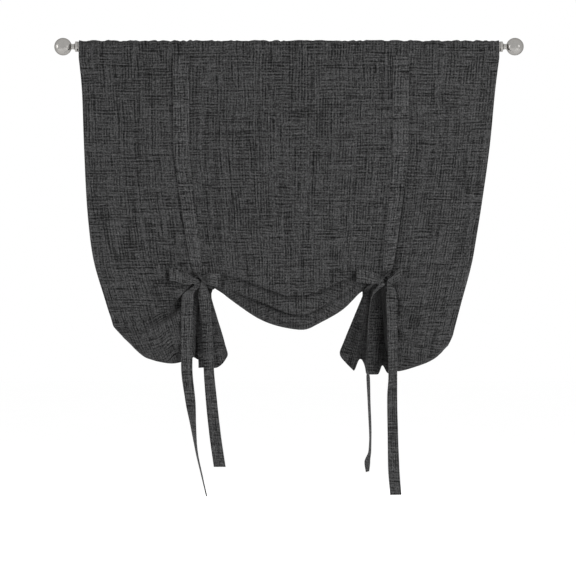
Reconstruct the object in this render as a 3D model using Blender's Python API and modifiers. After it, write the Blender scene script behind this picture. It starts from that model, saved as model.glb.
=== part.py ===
"""A tie-up curtain on its pole: one cloth panel, two pairs of tie straps, a tube and two ball finials.

Metres, +Z up. The origin is the middle of the pole's axis, X runs along the pole and the front faces -Y.
"""

import math

import bpy
import numpy as np
from mathutils import Vector
from mathutils.bvhtree import BVHTree

# Pole and finials
ROD_DIAMETER = 0.0254
ROD_WALL = 0.0012
BALL_DIAMETER = 0.0445
NECK_DIAMETER = 0.0147
NECK_LENGTH = 0.009
COLLAR_DIAMETER = 0.0262
COLLAR_LENGTH = 0.0085
STUD_DIAMETER = 0.006
STUD_REACH = 0.012
PLUG_LENGTH = 0.022
ROD_REVEAL = 0.002

# Cloth
PANEL_WIDTH = 1.066
CLOTH_THICKNESS = 0.0015
POCKET_EASE = 0.0012
POCKET_DEPTH = 0.030
STRAP_TOP_WIDTH = 0.040
TAIL_WIDTH = 0.030
STRAP_THICKNESS = 0.0012
BOW_WIDTH = 0.031
KNOT_WIDTH = 0.015
SEAM_LAP = 0.006

# Heights below the pole's axis and places along it
TIE_DROP = 0.590
LEFT_TIE_PLACE = 0.229
RIGHT_TIE_PLACE = 0.246
LEFT_STRAP_PLACE = 0.273
RIGHT_STRAP_PLACE = 0.283
LEFT_PASS_PLACE = 0.188
RIGHT_PASS_PLACE = 0.186
SWAG_DROP = 0.128
LEFT_POUF_DROP = 0.213
RIGHT_POUF_DROP = 0.234
LEFT_JABOT_DROP = 0.236
RIGHT_JABOT_DROP = 0.243

# Loops of the bows: how far each reaches from its tie, and how much it rises on the way
LEFT_FRONT_LOOP = 0.072
LEFT_FRONT_RISE = 0.012
RIGHT_FRONT_LOOP = 0.040
RIGHT_FRONT_RISE = 0.006
LEFT_BACK_LOOP = 0.056
LEFT_BACK_RISE = -0.004
RIGHT_BACK_LOOP = 0.076
RIGHT_BACK_RISE = 0.008

# How far the cloth stands out
POUF_BULGE = 0.030
SWAG_BULGE = 0.016
BACK_BULGE = 0.014
FOLD_LAP = 0.012
FOLD_PITCH = 0.0042
LAYER_PITCH = 0.0045

# Gaps
CLEARANCE = 0.0003
STRAP_PITCH = 0.0030
UNDER_GAP = 0.0012

# Counts
SIDE_COLUMNS = 13
SWAG_COLUMNS = 9
TURN_STEPS = 24
BALL_STEPS = 11
BAND_STEPS = 22
TAIL_STEPS = 26

ROD_RADIUS = ROD_DIAMETER / 2
ROD_LENGTH = PANEL_WIDTH + 2 * ROD_REVEAL
FRONT = ROD_RADIUS + POCKET_EASE + CLOTH_THICKNESS / 2
STRAP_LIFT = CLOTH_THICKNESS / 2 + CLEARANCE + STRAP_THICKNESS / 2

# The cloth's outlines, as shapes. A side runs from its hem, 0, to its strap, 1, and a place along the
# pole runs from the corner of the panel, 0, to the tie, 1. Depths are shares of the drop that they name.
SIDE_LEVELS = (0.0, 0.14, 0.38, 0.64, 0.84, 1.0)
LEFT_SIDE_PULL = (0.0, 0.008, 0.013, 0.020, 0.031, 0.048)
RIGHT_SIDE_PULL = (0.0, 0.010, 0.023, 0.043, 0.061, 0.077)
FOLD_STATIONS = (0.0, 0.2, 0.4, 0.6, 0.8, 1.0)
LEFT_CREASE = ((0.283, 0.548), (0.45, 0.583), (0.592, 0.50), (0.725, 0.381), (0.842, 0.226), (0.975, 0.06))
RIGHT_CREASE = ((0.412, 0.606), (0.544, 0.65), (0.675, 0.617), (0.79, 0.479), (0.895, 0.298), (0.985, 0.074))
BOTTOM_STATIONS = (0.0, 0.2, 0.45, 0.7, 0.86, 1.0)
LEFT_BOTTOM = ((0.39, 0.715), (0.575, 0.94), (0.767, 1.0), (0.892, 0.94), (0.946, 0.5), (1.0, 0.10))
RIGHT_BOTTOM = ((0.456, 0.723), (0.579, 0.862), (0.737, 0.947), (0.886, 1.0), (0.955, 0.56), (0.99, 0.106))
SWAG_STATIONS = (0.0, 0.1, 0.2, 0.37, 0.5, 0.56, 0.64, 0.76, 0.9, 1.0)
SWAG_EDGE = (0.16, 0.22, 0.50, 0.86, 0.98, 1.0, 0.87, 0.63, 0.22, 0.14)
SWAG_FOLDS = (
    (0.04, -0.06, 0.0, 0.22, 0.34, 0.32, 0.24, 0.06, -0.10, 0.0),
    (0.09, 0.14, 0.30, 0.52, 0.70, 0.71, 0.58, 0.34, 0.10, 0.06),
    (0.125, 0.18, 0.42, 0.72, 0.90, 0.92, 0.80, 0.54, 0.17, 0.11),
)
SWAG_FOLD_STRENGTHS = (
    (0.0, 0.4, 0.6, 0.9, 1.0, 1.0, 1.0, 0.8, 0.3, 0.0),
    (0.0, 0.0, 0.4, 0.9, 1.0, 1.0, 0.9, 0.5, 0.0, 0.0),
    (0.0, 0.0, 0.0, 0.3, 0.5, 0.5, 0.4, 0.0, 0.0, 0.0),
)
LEFT_CREASE_STRENGTHS = (0.1, 0.8, 1.0, 1.0, 0.6, 0.0)
RIGHT_CREASE_STRENGTHS = (0.0, 0.1, 0.4, 0.6, 0.4, 0.0)

# Hem of a jabot, from the side hem to past the strap: cloth place, distance inboard of the tie, share of
# the jabot's drop, distance behind the neck. Places over 1 belong to the swag's first columns.
LEFT_HEM = (
    (0.0, -0.014, 0.84, 0.016),
    (0.2, 0.022, 0.92, 0.016),
    (0.35, 0.031, 0.93, 0.012),
    (0.6, 0.011, 1.0, 0.004),
    (0.8, 0.041, 0.965, 0.002),
    (1.0, 0.062, 0.87, 0.0),
    (1.05, 0.073, 0.785, 0.0),
    (1.09, 0.052, 0.58, 0.0),
    (1.13, 0.035, 0.34, 0.0),
    (1.17, 0.028, 0.06, 0.0),
)
RIGHT_HEM = (
    (0.0, -0.016, 0.985, 0.012),
    (0.13, -0.005, 0.99, 0.006),
    (0.25, 0.009, 0.895, 0.015),
    (0.36, 0.020, 1.0, 0.004),
    (0.56, 0.048, 1.0, 0.003),
    (0.70, 0.064, 0.83, 0.014),
    (0.86, 0.082, 0.965, 0.003),
    (1.0, 0.100, 0.875, 0.0),
    (1.05, 0.118, 0.77, 0.0),
    (1.09, 0.096, 0.585, 0.0),
    (1.13, 0.070, 0.36, 0.0),
    (1.17, 0.036, 0.06, 0.0),
)
SWAG_LEAVES_JABOT = 0.19
JABOT_COLUMNS = (0.05, 0.09, 0.13, 0.17)

# Tails: distance below the tie, distance outboard of it, half width across the view and towards it.
LEFT_OUTER_TAIL = (
    (0.041, 0.0265, 1.0, 0.0),
    (0.120, 0.029, 1.0, 0.0),
    (0.220, 0.029, 0.96, 0.2),
    (0.307, 0.020, 0.86, 0.4),
    (0.368, 0.013, 0.5, 0.8),
    (0.430, 0.005, 0.22, 0.97),
    (0.500, -0.010, 0.15, 0.98),
    (0.548, -0.021, 0.12, 0.98),
)
LEFT_INNER_TAIL = (
    (0.036, -0.014, 1.0, 0.0),
    (0.132, -0.022, 0.85, 0.3),
    (0.231, -0.0265, 0.88, 0.3),
    (0.307, -0.033, 0.95, 0.2),
    (0.399, -0.043, 0.98, 0.1),
    (0.475, -0.054, 1.0, 0.0),
)
RIGHT_OUTER_TAIL = (
    (0.041, 0.014, 1.0, 0.0),
    (0.130, 0.015, 0.85, 0.3),
    (0.246, 0.016, 0.75, 0.4),
    (0.297, 0.0145, 0.85, 0.3),
    (0.389, 0.016, 0.88, 0.3),
    (0.480, 0.0185, 0.95, 0.2),
    (0.545, 0.0235, 0.95, 0.2),
)
RIGHT_INNER_TAIL = (
    (0.040, -0.026, 0.9, 0.2),
    (0.080, -0.038, 0.5, 0.8),
    (0.130, -0.043, 0.25, 0.97),
    (0.246, -0.045, 0.18, 0.98),
    (0.370, -0.0415, 0.15, 0.98),
    (0.440, -0.042, 0.2, 0.97),
    (0.487, -0.047, 0.3, 0.95),
)


def clear_scene():
    for obj in list(bpy.data.objects):
        bpy.data.objects.remove(obj)


def collection_named(name):
    collection = bpy.data.collections.new(name)
    bpy.context.scene.collection.children.link(collection)
    return collection


def material_named(name, colour, roughness, metallic):
    material = bpy.data.materials.new(name)
    material.use_nodes = True
    shader = material.node_tree.nodes["Principled BSDF"]
    shader.inputs["Base Color"].default_value = (*colour, 1.0)
    shader.inputs["Roughness"].default_value = roughness
    shader.inputs["Metallic"].default_value = metallic
    return material


def smooth_between(knots, values, at):
    """A smooth curve through the values at the knots, with no overshoot, read at each place in at."""
    knots = np.asarray(knots, float)
    values = np.asarray(values, float)
    steps = np.diff(knots)
    slopes = np.diff(values) / steps
    before, after = slopes[:-1], slopes[1:]
    same_way = before * after > 0
    inner = np.where(same_way, 2 * before * after / np.where(same_way, before + after, 1.0), 0.0)
    tangents = np.concatenate([slopes[:1], inner, slopes[-1:]])
    at = np.clip(np.asarray(at, float), knots[0], knots[-1])
    i = np.clip(np.searchsorted(knots, at, side="right") - 1, 0, len(steps) - 1)
    t = (at - knots[i]) / steps[i]
    return (
        values[i] * (1 + 2 * t) * (1 - t) ** 2
        + tangents[i] * steps[i] * t * (1 - t) ** 2
        + values[i + 1] * t**2 * (3 - 2 * t)
        + tangents[i + 1] * steps[i] * t**2 * (t - 1)
    )


def mixed(a, b, share):
    return a + (b - a) * share


def stacked(x, y, z):
    """One row of the cloth: the columns' points as an array of (x, y, z)."""
    return np.stack(np.broadcast_arrays(np.asarray(x, float), y, z), axis=-1)


def pocket_rows(place):
    """The rod pocket's rows: from its sewn edge, up behind the rod and over it to the front."""
    sewn = FRONT - CLOTH_THICKNESS - CLEARANCE
    rows = [stacked(place, -sewn, -POCKET_DEPTH)]
    for degrees in range(-45, 181, 45):
        angle = math.radians(degrees)
        rows.append(stacked(place, FRONT * math.cos(angle), FRONT * math.sin(angle)))
    return rows


def fold_rows(line, above, below, strength, lap):
    """Rows of one horizontal fold, whose upper layer overhangs the lower one.

    line, above and below are rows of points: the fold's lowest line and the rows on both sides of it.
    Where strength is 0 the rows lie evenly between above and below.
    """
    upper = mixed(line, above, 0.4)
    lower = mixed(line, below, 0.3)
    shape = ((-0.8, 0.3), (-1.1, 0.05), (0.1, 0.3), (1.0, 1.0), (2.0, 0.1))
    rows = [upper]
    for k, (depth, height) in enumerate(shape):
        flat = mixed(upper, lower, (k + 1) / (len(shape) + 1))
        folded = line + stacked(0, depth * FOLD_PITCH, height * lap)
        rows.append(mixed(flat, folded, strength[:, None]))
    rows.append(lower)
    return rows


class Side:
    """One side of the curtain, outside its strap. sign is -1 on the left and +1 on the right."""

    def __init__(self, sign, tie, strap, under, pulls, crease, strengths, bottom, pouf, hem, jabot):
        self.sign = sign
        self.tie = tie
        self.strap = strap
        self.under = under
        self.pulls = pulls
        self.crease = crease
        self.strengths = strengths
        self.bottom = bottom
        self.pouf = pouf
        self.hem = hem
        self.jabot = jabot

    def outer(self, level):
        """Distance from the middle to the side hem, at a share of the drop to the tie."""
        return PANEL_WIDTH / 2 - smooth_between(SIDE_LEVELS, self.pulls, level)

    def strap_line(self, level):
        """Distance from the middle to the strap: it draws in towards the tie."""
        return self.strap + (self.tie - self.strap) * max(0.0, (level - 0.4) / 0.6) ** 1.15

    def line(self, stations, shape, at):
        """Points of a fold given by places and depths, read at cloth places."""
        places, depths = zip(*shape)
        place = smooth_between(stations, places, at)
        x = mixed(PANEL_WIDTH / 2, self.tie, place)
        z = -TIE_DROP - self.pouf * smooth_between(stations, depths, at)
        return self.sign * x, z

    def hem_at(self, at):
        """Hem points: x, z and the distance behind the neck."""
        stations, inboard, depth, behind = zip(*self.hem)
        x = self.tie - smooth_between(stations, inboard, at)
        z = -TIE_DROP - self.jabot * smooth_between(stations, depth, at)
        return self.sign * x, z, smooth_between(stations, behind, at)

    def neck_at(self, at):
        """Places of the gathered cloth in the tie's loop."""
        inboard = smooth_between((0.0, 1.0, 1.2), (-0.013, 0.014, 0.022), at)
        return self.sign * (self.tie - inboard)


LEFT = Side(
    -1, LEFT_TIE_PLACE, LEFT_STRAP_PLACE, LEFT_PASS_PLACE, LEFT_SIDE_PULL, LEFT_CREASE,
    LEFT_CREASE_STRENGTHS, LEFT_BOTTOM, LEFT_POUF_DROP, LEFT_HEM, LEFT_JABOT_DROP,
)
RIGHT = Side(
    1, RIGHT_TIE_PLACE, RIGHT_STRAP_PLACE, RIGHT_PASS_PLACE, RIGHT_SIDE_PULL, RIGHT_CREASE,
    RIGHT_CREASE_STRENGTHS, RIGHT_BOTTOM, RIGHT_POUF_DROP, RIGHT_HEM, RIGHT_JABOT_DROP,
)
LEVELS = (0.16, 0.32, 0.48, 0.64, 0.78, 0.90)
NECK_SHARES = (0.0, 0.3, 0.6, 0.85, 1.0)


def neck_rows(x, hem_x, hem_z, behind):
    """Rows from the top of the gathered cloth down to the hem: over the loop, then down behind it."""
    top = -TIE_DROP - CLOTH_THICKNESS * 4
    y = BACK_BULGE
    start = top - CLOTH_THICKNESS * 8
    rows = [
        stacked(x, y, top),
        stacked(x, y + LAYER_PITCH * 0.8, top - CLOTH_THICKNESS * 2),
    ]
    for share in NECK_SHARES:
        y_here = y + LAYER_PITCH + behind * share
        rows.append(stacked(mixed(x, hem_x, share), y_here, mixed(start, hem_z, share)))
    return rows


def side_rows(side, cloth):
    """Every row of the panel over the columns outside one strap. cloth runs from the hem to the strap."""
    swell = np.sin(math.pi * (0.15 + 0.85 * cloth))
    top = side.sign * mixed(PANEL_WIDTH / 2, side.strap, cloth)
    rows = pocket_rows(top)
    rows.append(stacked(top, -FRONT, -POCKET_DEPTH))
    for level in LEVELS:
        x = side.sign * mixed(side.outer(level), side.strap_line(level), cloth)
        y = -FRONT - POUF_BULGE * 0.7 * swell * level**4
        rows.append(stacked(x, y, -POCKET_DEPTH - (TIE_DROP - POCKET_DEPTH) * level))
    crease_x, crease_z = side.line(FOLD_STATIONS, side.crease, cloth)
    bottom_x, bottom_z = side.line(BOTTOM_STATIONS, side.bottom, cloth)
    swollen = -FRONT - POUF_BULGE * swell
    crease = stacked(crease_x, swollen, crease_z)
    lines = [crease]
    for share, fullness in ((0.36, 1.05), (0.72, 0.85)):
        x = mixed(crease_x, bottom_x, share)
        y = -FRONT - POUF_BULGE * fullness * swell
        lines.append(stacked(x, y, mixed(crease_z, bottom_z, share)))
    lines.append(stacked(bottom_x, -FRONT * 0.4 - POUF_BULGE * 0.4 * swell, bottom_z))
    strengths = [smooth_between(FOLD_STATIONS, side.strengths, cloth), 0 * cloth, 0 * cloth]
    rows += folded_lines(rows[-1], lines, strengths)
    rows.append(lines[-1])
    neck_x = side.neck_at(cloth)
    neck_z = -TIE_DROP - CLOTH_THICKNESS * 8
    for share, depth in ((0.08, 0.55), (0.5, 1.0), (0.85, 0.8)):
        y = BACK_BULGE * 0.7 * depth + POUF_BULGE * 0.6 * swell * math.sin(math.pi * share)
        rows.append(stacked(mixed(bottom_x, neck_x, share), y, mixed(bottom_z, neck_z, share)))
    hem_x, hem_z, behind = side.hem_at(cloth)
    return rows + neck_rows(neck_x, hem_x, hem_z, behind)


def folded_lines(above, lines, strengths):
    """The rows of several folds one below another. The last line is only the row below them."""
    rows = []
    laps = (FOLD_LAP, FOLD_LAP, FOLD_LAP * 0.5)
    for line, below, strength, lap in zip(lines, lines[1:], strengths, laps):
        made = fold_rows(line, above, below, strength, lap)
        rows += made
        above = line
    return rows


def swag_rows(cloth):
    """Every row over the columns between the straps. cloth runs from the left strap to the right one."""
    swell = np.sin(math.pi * cloth)
    top = mixed(-LEFT.strap, RIGHT.strap, cloth)
    rows = pocket_rows(top)
    rows.append(stacked(top, -FRONT, -POCKET_DEPTH))
    for level in LEVELS:
        x = mixed(-LEFT.strap_line(level), RIGHT.strap_line(level), cloth)
        y = -FRONT - SWAG_BULGE * 0.5 * swell * level**3
        rows.append(stacked(x, y, -POCKET_DEPTH - (TIE_DROP - POCKET_DEPTH) * level))
    tied_x = mixed(-LEFT.tie, RIGHT.tie, cloth)
    edge_z = -TIE_DROP - SWAG_DROP * smooth_between(SWAG_STATIONS, SWAG_EDGE, cloth)
    lines = []
    strengths = []
    for depths, strong in zip(SWAG_FOLDS, SWAG_FOLD_STRENGTHS):
        z = -TIE_DROP - SWAG_DROP * smooth_between(SWAG_STATIONS, depths, cloth)
        lines.append(stacked(tied_x, -FRONT - SWAG_BULGE * swell, z))
        strengths.append(smooth_between(SWAG_STATIONS, strong, cloth))
    lines.append(stacked(tied_x, -FRONT * 0.4 - SWAG_BULGE * 0.5 * swell, edge_z))
    rows += folded_lines(rows[-1], lines, strengths)
    rows.append(lines[-1])
    near_left = np.clip(cloth / SWAG_LEAVES_JABOT, 0, 1)
    near_right = np.clip((1 - cloth) / SWAG_LEAVES_JABOT, 0, 1)
    neck_left = LEFT.neck_at(1 + cloth)
    neck_right = RIGHT.neck_at(2 - cloth)
    span = np.clip((cloth - SWAG_LEAVES_JABOT) / (1 - 2 * SWAG_LEAVES_JABOT), 0, 1)
    neck_x = mixed(neck_left, neck_right, span)
    sag = SWAG_DROP * 0.45 * np.sin(math.pi * span)
    neck_z = -TIE_DROP - CLOTH_THICKNESS * 8 - sag
    for share, depth in ((0.08, 0.55), (0.5, 1.0), (0.85, 0.8)):
        y = BACK_BULGE * 0.7 * depth + 0 * cloth
        rows.append(stacked(mixed(tied_x, neck_x, share), y, mixed(edge_z, neck_z, share)))
    left_x, left_z, left_behind = LEFT.hem_at(1 + cloth)
    right_x, right_z, right_behind = RIGHT.hem_at(2 - cloth)
    hidden = smooth_between((0.9, 1.0), (0.0, 1.0), np.minimum(near_left, near_right))
    low_x = mixed(np.where(cloth < 0.5, left_x, right_x), tied_x, hidden)
    edge_here = smooth_between(SWAG_STATIONS, SWAG_EDGE, (low_x + LEFT.tie) / (LEFT.tie + RIGHT.tie))
    behind_z = -TIE_DROP - SWAG_DROP * edge_here + FOLD_LAP
    low_z = np.where(cloth < 0.5, left_z, right_z)
    low_z = np.where(hidden > 0, np.maximum(mixed(low_z, behind_z, hidden), behind_z), low_z)
    behind = np.where(cloth < 0.5, left_behind, right_behind)
    made = neck_rows(neck_x, low_x, low_z, behind)
    for row in made[:2]:
        row[:, 2] -= sag
    for row, share in zip(made[2:], NECK_SHARES):
        row[:, 2] = mixed(row[:, 2], mixed(neck_z, low_z, share), np.where(sag > 0, 1.0, 0.0))
    return rows + made


def panel_points():
    """The whole panel as rows of points, from the left side hem to the right one."""
    side_cloth = np.linspace(0, 1, SIDE_COLUMNS + 1)
    jabot_cloth = np.array(JABOT_COLUMNS)
    plain_cloth = np.linspace(SWAG_LEAVES_JABOT + 0.01, 0.99 - SWAG_LEAVES_JABOT, SWAG_COLUMNS)
    swag_cloth = np.concatenate([jabot_cloth, plain_cloth, 1 - jabot_cloth[::-1]])
    left = side_rows(LEFT, side_cloth)
    middle = swag_rows(swag_cloth)
    right = side_rows(RIGHT, side_cloth)
    return [np.concatenate([a, b, c[::-1]]) for a, b, c in zip(left, middle, right)]


def sheet_object(name, rows, thickness, material, collection):
    """A grid whose points are moved to the given rows and which is then given its thickness."""
    columns = len(rows[0])
    bpy.ops.mesh.primitive_grid_add(x_subdivisions=columns - 1, y_subdivisions=len(rows) - 1)
    obj = bpy.context.object
    obj.name = name
    obj.data.name = name
    obj.data.vertices.foreach_set("co", np.concatenate(rows[::-1]).astype(np.float32).ravel())
    obj.data.materials.append(material)
    obj.data.shade_smooth()
    solidify = obj.modifiers.new("cloth thickness", "SOLIDIFY")
    solidify.thickness = thickness
    solidify.offset = 0.0
    for old in list(obj.users_collection):
        old.objects.unlink(obj)
    collection.objects.link(obj)
    obj.data.update()
    return obj


def turned_object(name, profile, place, turn, material, collection):
    """A turned piece: (radius, height) points down its outer side, turned about the pole's axis.

    A profile that ends off the axis is a ring's section, so its ends are joined.
    """
    mesh = bpy.data.meshes.new(name)
    edges = [(i, i + 1) for i in range(len(profile) - 1)]
    if profile[-1][0] > 0:
        edges.append((len(profile) - 1, 0))
    mesh.from_pydata([(radius, 0, height) for radius, height in profile], edges, [])
    obj = bpy.data.objects.new(name, mesh)
    collection.objects.link(obj)
    screw = obj.modifiers.new("turned", "SCREW")
    screw.steps = TURN_STEPS
    screw.render_steps = TURN_STEPS
    screw.use_merge_vertices = True
    screw.merge_threshold = 0.00001
    screw.use_smooth_shade = True
    mesh.materials.append(material)
    obj.location = (place, 0, 0)
    obj.rotation_euler = (0, turn, 0)
    return obj


def finial_profile():
    """From the ball's far pole to the collar, then up the threaded hole that the stud screws into."""
    ball_radius = BALL_DIAMETER / 2
    neck_radius = NECK_DIAMETER / 2
    collar_radius = COLLAR_DIAMETER / 2
    hole_radius = STUD_DIAMETER / 2 + CLEARANCE
    ball_height = COLLAR_LENGTH + NECK_LENGTH + math.sqrt(ball_radius**2 - neck_radius**2)
    last = math.asin(neck_radius / ball_radius)
    points = []
    for k in range(BALL_STEPS + 1):
        angle = (math.pi - last) * k / BALL_STEPS
        points.append((ball_radius * math.sin(angle), ball_height + ball_radius * math.cos(angle)))
    points[0] = (0.0, ball_height + ball_radius)
    points += [
        (neck_radius, COLLAR_LENGTH + NECK_LENGTH * 0.3),
        (mixed(neck_radius, collar_radius, 0.4), COLLAR_LENGTH),
        (mixed(neck_radius, collar_radius, 0.85), COLLAR_LENGTH * 0.8),
        (collar_radius, COLLAR_LENGTH * 0.6),
        (collar_radius, 0.0),
        (hole_radius, 0.0),
        (hole_radius, STUD_REACH + CLEARANCE),
        (0.0, STUD_REACH + CLEARANCE),
    ]
    return points


def plug_profile():
    """The stud's tip, then the plug that fills the tube's end."""
    stud_radius = STUD_DIAMETER / 2
    plug_radius = ROD_RADIUS - ROD_WALL - CLEARANCE
    return [
        (0.0, STUD_REACH),
        (stud_radius, STUD_REACH),
        (stud_radius, -CLEARANCE),
        (plug_radius, -CLEARANCE),
        (plug_radius, -PLUG_LENGTH),
        (0.0, -PLUG_LENGTH),
    ]


def rod_profile():
    inner = ROD_RADIUS - ROD_WALL
    half = ROD_LENGTH / 2
    return [(ROD_RADIUS, half), (ROD_RADIUS, -half), (inner, -half), (inner, half)]


class Surface:
    """The panel as something that a strap can lie on, in front or behind."""

    def __init__(self, panel):
        graph = bpy.context.evaluated_depsgraph_get()
        self.tree = BVHTree.FromObject(panel, graph)

    def reach(self, x, z, facing):
        """Depth of the outermost cloth at x and z: facing -1 looks at the front, +1 at the back."""
        hit = self.tree.ray_cast(Vector((x, facing, z)), Vector((0, -facing, 0)))
        return None if hit[0] is None else hit[0].y

    def lowest(self, x, half_width):
        """Height of the lowest cloth over a strap's width, leaving out the jabot behind it."""
        found = []
        for across in (-1.0, -0.5, 0.0, 0.5, 1.0):
            for y in np.linspace(-FRONT, BACK_BULGE, 9):
                start = Vector((x + across * half_width, y, -TIE_DROP - SWAG_DROP * 2))
                hit = self.tree.ray_cast(start, Vector((0, 0, 1)))
                if hit[0] is not None:
                    found.append(hit[0].z)
        return min(found)

    def outermost(self, x, z, half_width, facing):
        """The same over a patch as wide as a strap, or None where there is no cloth."""
        found = []
        for across in (-1.0, -0.5, 0.0, 0.5, 1.0):
            for up in (-0.007, 0.0, 0.007):
                y = self.reach(x + across * half_width, z + up, facing)
                if y is not None:
                    found.append(y * facing)
        return max(found) * facing if found else None


def along(points, steps):
    """A smooth 3-D curve through the points, with the given number of steps between each two."""
    points = np.asarray(points, float)
    padded = np.concatenate([2 * points[:1] - points[1:2], points, 2 * points[-1:] - points[-2:-1]])
    made = []
    for a, b, c, d in zip(padded, padded[1:], padded[2:], padded[3:]):
        for k in range(steps):
            t = k / steps
            made.append(
                0.5 * (2 * b + (c - a) * t + (2 * a - 5 * b + 4 * c - d) * t**2 + (3 * b - a - 3 * c + d) * t**3)
            )
    return np.array(made + [points[-1]])


class Strap:
    """Stations of a strap: its middle and the vector to its edge."""

    def __init__(self, surface, side):
        self.surface = surface
        self.side = side
        self.stations = []

    def add(self, x, y, z, across):
        self.stations.append((x, y, z, *across))

    def front(self, outboard, up, lift, across, half):
        """A station in front of the cloth near the knot, measured from the tie, lift in front of it."""
        x = self.side.sign * (self.side.tie + outboard)
        z = -TIE_DROP + up
        y = self.surface.outermost(x, z, KNOT_WIDTH, -1)
        direction = np.array(across, float)
        direction[0] *= self.side.sign
        self.add(x, y - lift, z, direction * half / np.linalg.norm(direction))

    def rows(self):
        middle = np.array(self.stations)[:, :3]
        edge = np.array(self.stations)[:, 3:]
        return [np.array([m - e, m + e]) for m, e in zip(middle, edge)]


def band_half_width(share):
    """A band keeps its width and then gathers towards the knot."""
    gathered = mixed(TAIL_WIDTH, KNOT_WIDTH, 0.5)
    widths = (STRAP_TOP_WIDTH, STRAP_TOP_WIDTH * 0.95, TAIL_WIDTH, gathered, KNOT_WIDTH)
    return smooth_between((0.0, 0.45, 0.75, 0.96, 1.0), widths, share) / 2


def front_band(strap):
    """The strap in front of the panel, from the pocket seam to the knot."""
    side = strap.side
    top = -POCKET_DEPTH + SEAM_LAP
    end = -TIE_DROP + KNOT_WIDTH * 1.4
    for share in np.linspace(0, 1, BAND_STEPS):
        z = mixed(top, end, share)
        level = (-z - POCKET_DEPTH) / (TIE_DROP - POCKET_DEPTH)
        half = band_half_width(share)
        x = side.sign * side.strap_line(level)
        y = strap.surface.outermost(x, z, half, -1) - STRAP_LIFT + CLOTH_THICKNESS / 2
        strap.add(x, y, z, (side.sign * half, 0, 0))


def tail(strap, lift, kept, shape):
    """The hanging end: it lies on the cloth below it and hangs straight once it has left it.

    It keeps its layer in the knot over the distance kept, and then settles on the cloth.
    """
    side = strap.side
    drops, outboard, across, towards = zip(*shape)
    start = strap.stations[-1]
    first_drop = -start[2] - TIE_DROP
    first_out = start[0] * side.sign - side.tie
    drops = (first_drop, *drops)
    outboard = (first_out, *outboard)
    across = (1.0, *across)
    towards = (0.0, *towards)
    y = start[1]
    for drop in np.linspace(first_drop, drops[-1], TAIL_STEPS)[1:]:
        x = side.sign * (side.tie + smooth_between(drops, outboard, drop))
        z = -TIE_DROP - drop
        wide = mixed(KNOT_WIDTH, TAIL_WIDTH, min(1.0, (drop - first_drop) / 0.03)) / 2
        facing = side.sign * smooth_between(drops, across, drop)
        edge = wide * np.array([facing, smooth_between(drops, towards, drop), 0])
        lying = strap.surface.outermost(x, z, abs(edge[0]), -1)
        settled = mixed(lift, STRAP_LIFT, np.clip((drop - first_drop - kept) / 0.05, 0, 1))
        if lying is not None:
            y = min(y, lying - settled - abs(edge[1]))
        strap.add(x, y, z, edge)


def front_strap(surface, side, loop_length, loop_rise, tail_shape):
    """Band, outboard loop of the bow and outboard tail, all one strap."""
    strap = Strap(surface, side)
    front_band(strap)
    narrow = KNOT_WIDTH / 2
    wide = BOW_WIDTH / 2
    turn = narrow + 0.004
    one = STRAP_LIFT
    three = STRAP_LIFT + 2 * STRAP_PITCH
    stations = [
        (0.0, turn, one, (1, 0, 0), narrow),
        (turn * 0.29, turn * 0.29, one, (1, 0, -1), narrow),
        (turn, 0.0, one, (0, 0, -1), narrow),
        (mixed(turn, loop_length, 0.35), loop_rise * 0.5, one, (0, 0, -1), mixed(narrow, wide, 0.7)),
        (mixed(turn, loop_length, 0.75), loop_rise, one + 0.001, (0, 0, -1), wide),
        (loop_length, loop_rise, one + 0.006, (0, 0, -1), wide),
        (mixed(turn, loop_length, 0.75), loop_rise * 0.8, one + 0.013, (0, 0, -1), wide),
        (mixed(turn, loop_length, 0.35), 0.0, three + 0.003, (0, 0, -1), mixed(narrow, wide, 0.7)),
        (turn, -narrow * 0.6, three, (0, 0, -1), narrow),
        (turn * 0.29, -narrow * 0.6 - turn * 0.29, three, (1, 0, -1), narrow),
        (0.003, -narrow * 0.6 - turn, three, (1, 0, 0), narrow),
    ]
    knot = Strap(surface, side)
    for outboard, up, lift, across, half in stations:
        knot.front(outboard, up, lift, across, half)
    strap.stations += [tuple(s) for s in along(knot.stations, 3)]
    tail(strap, three, 0.0, tail_shape)
    return strap.rows()


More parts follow.
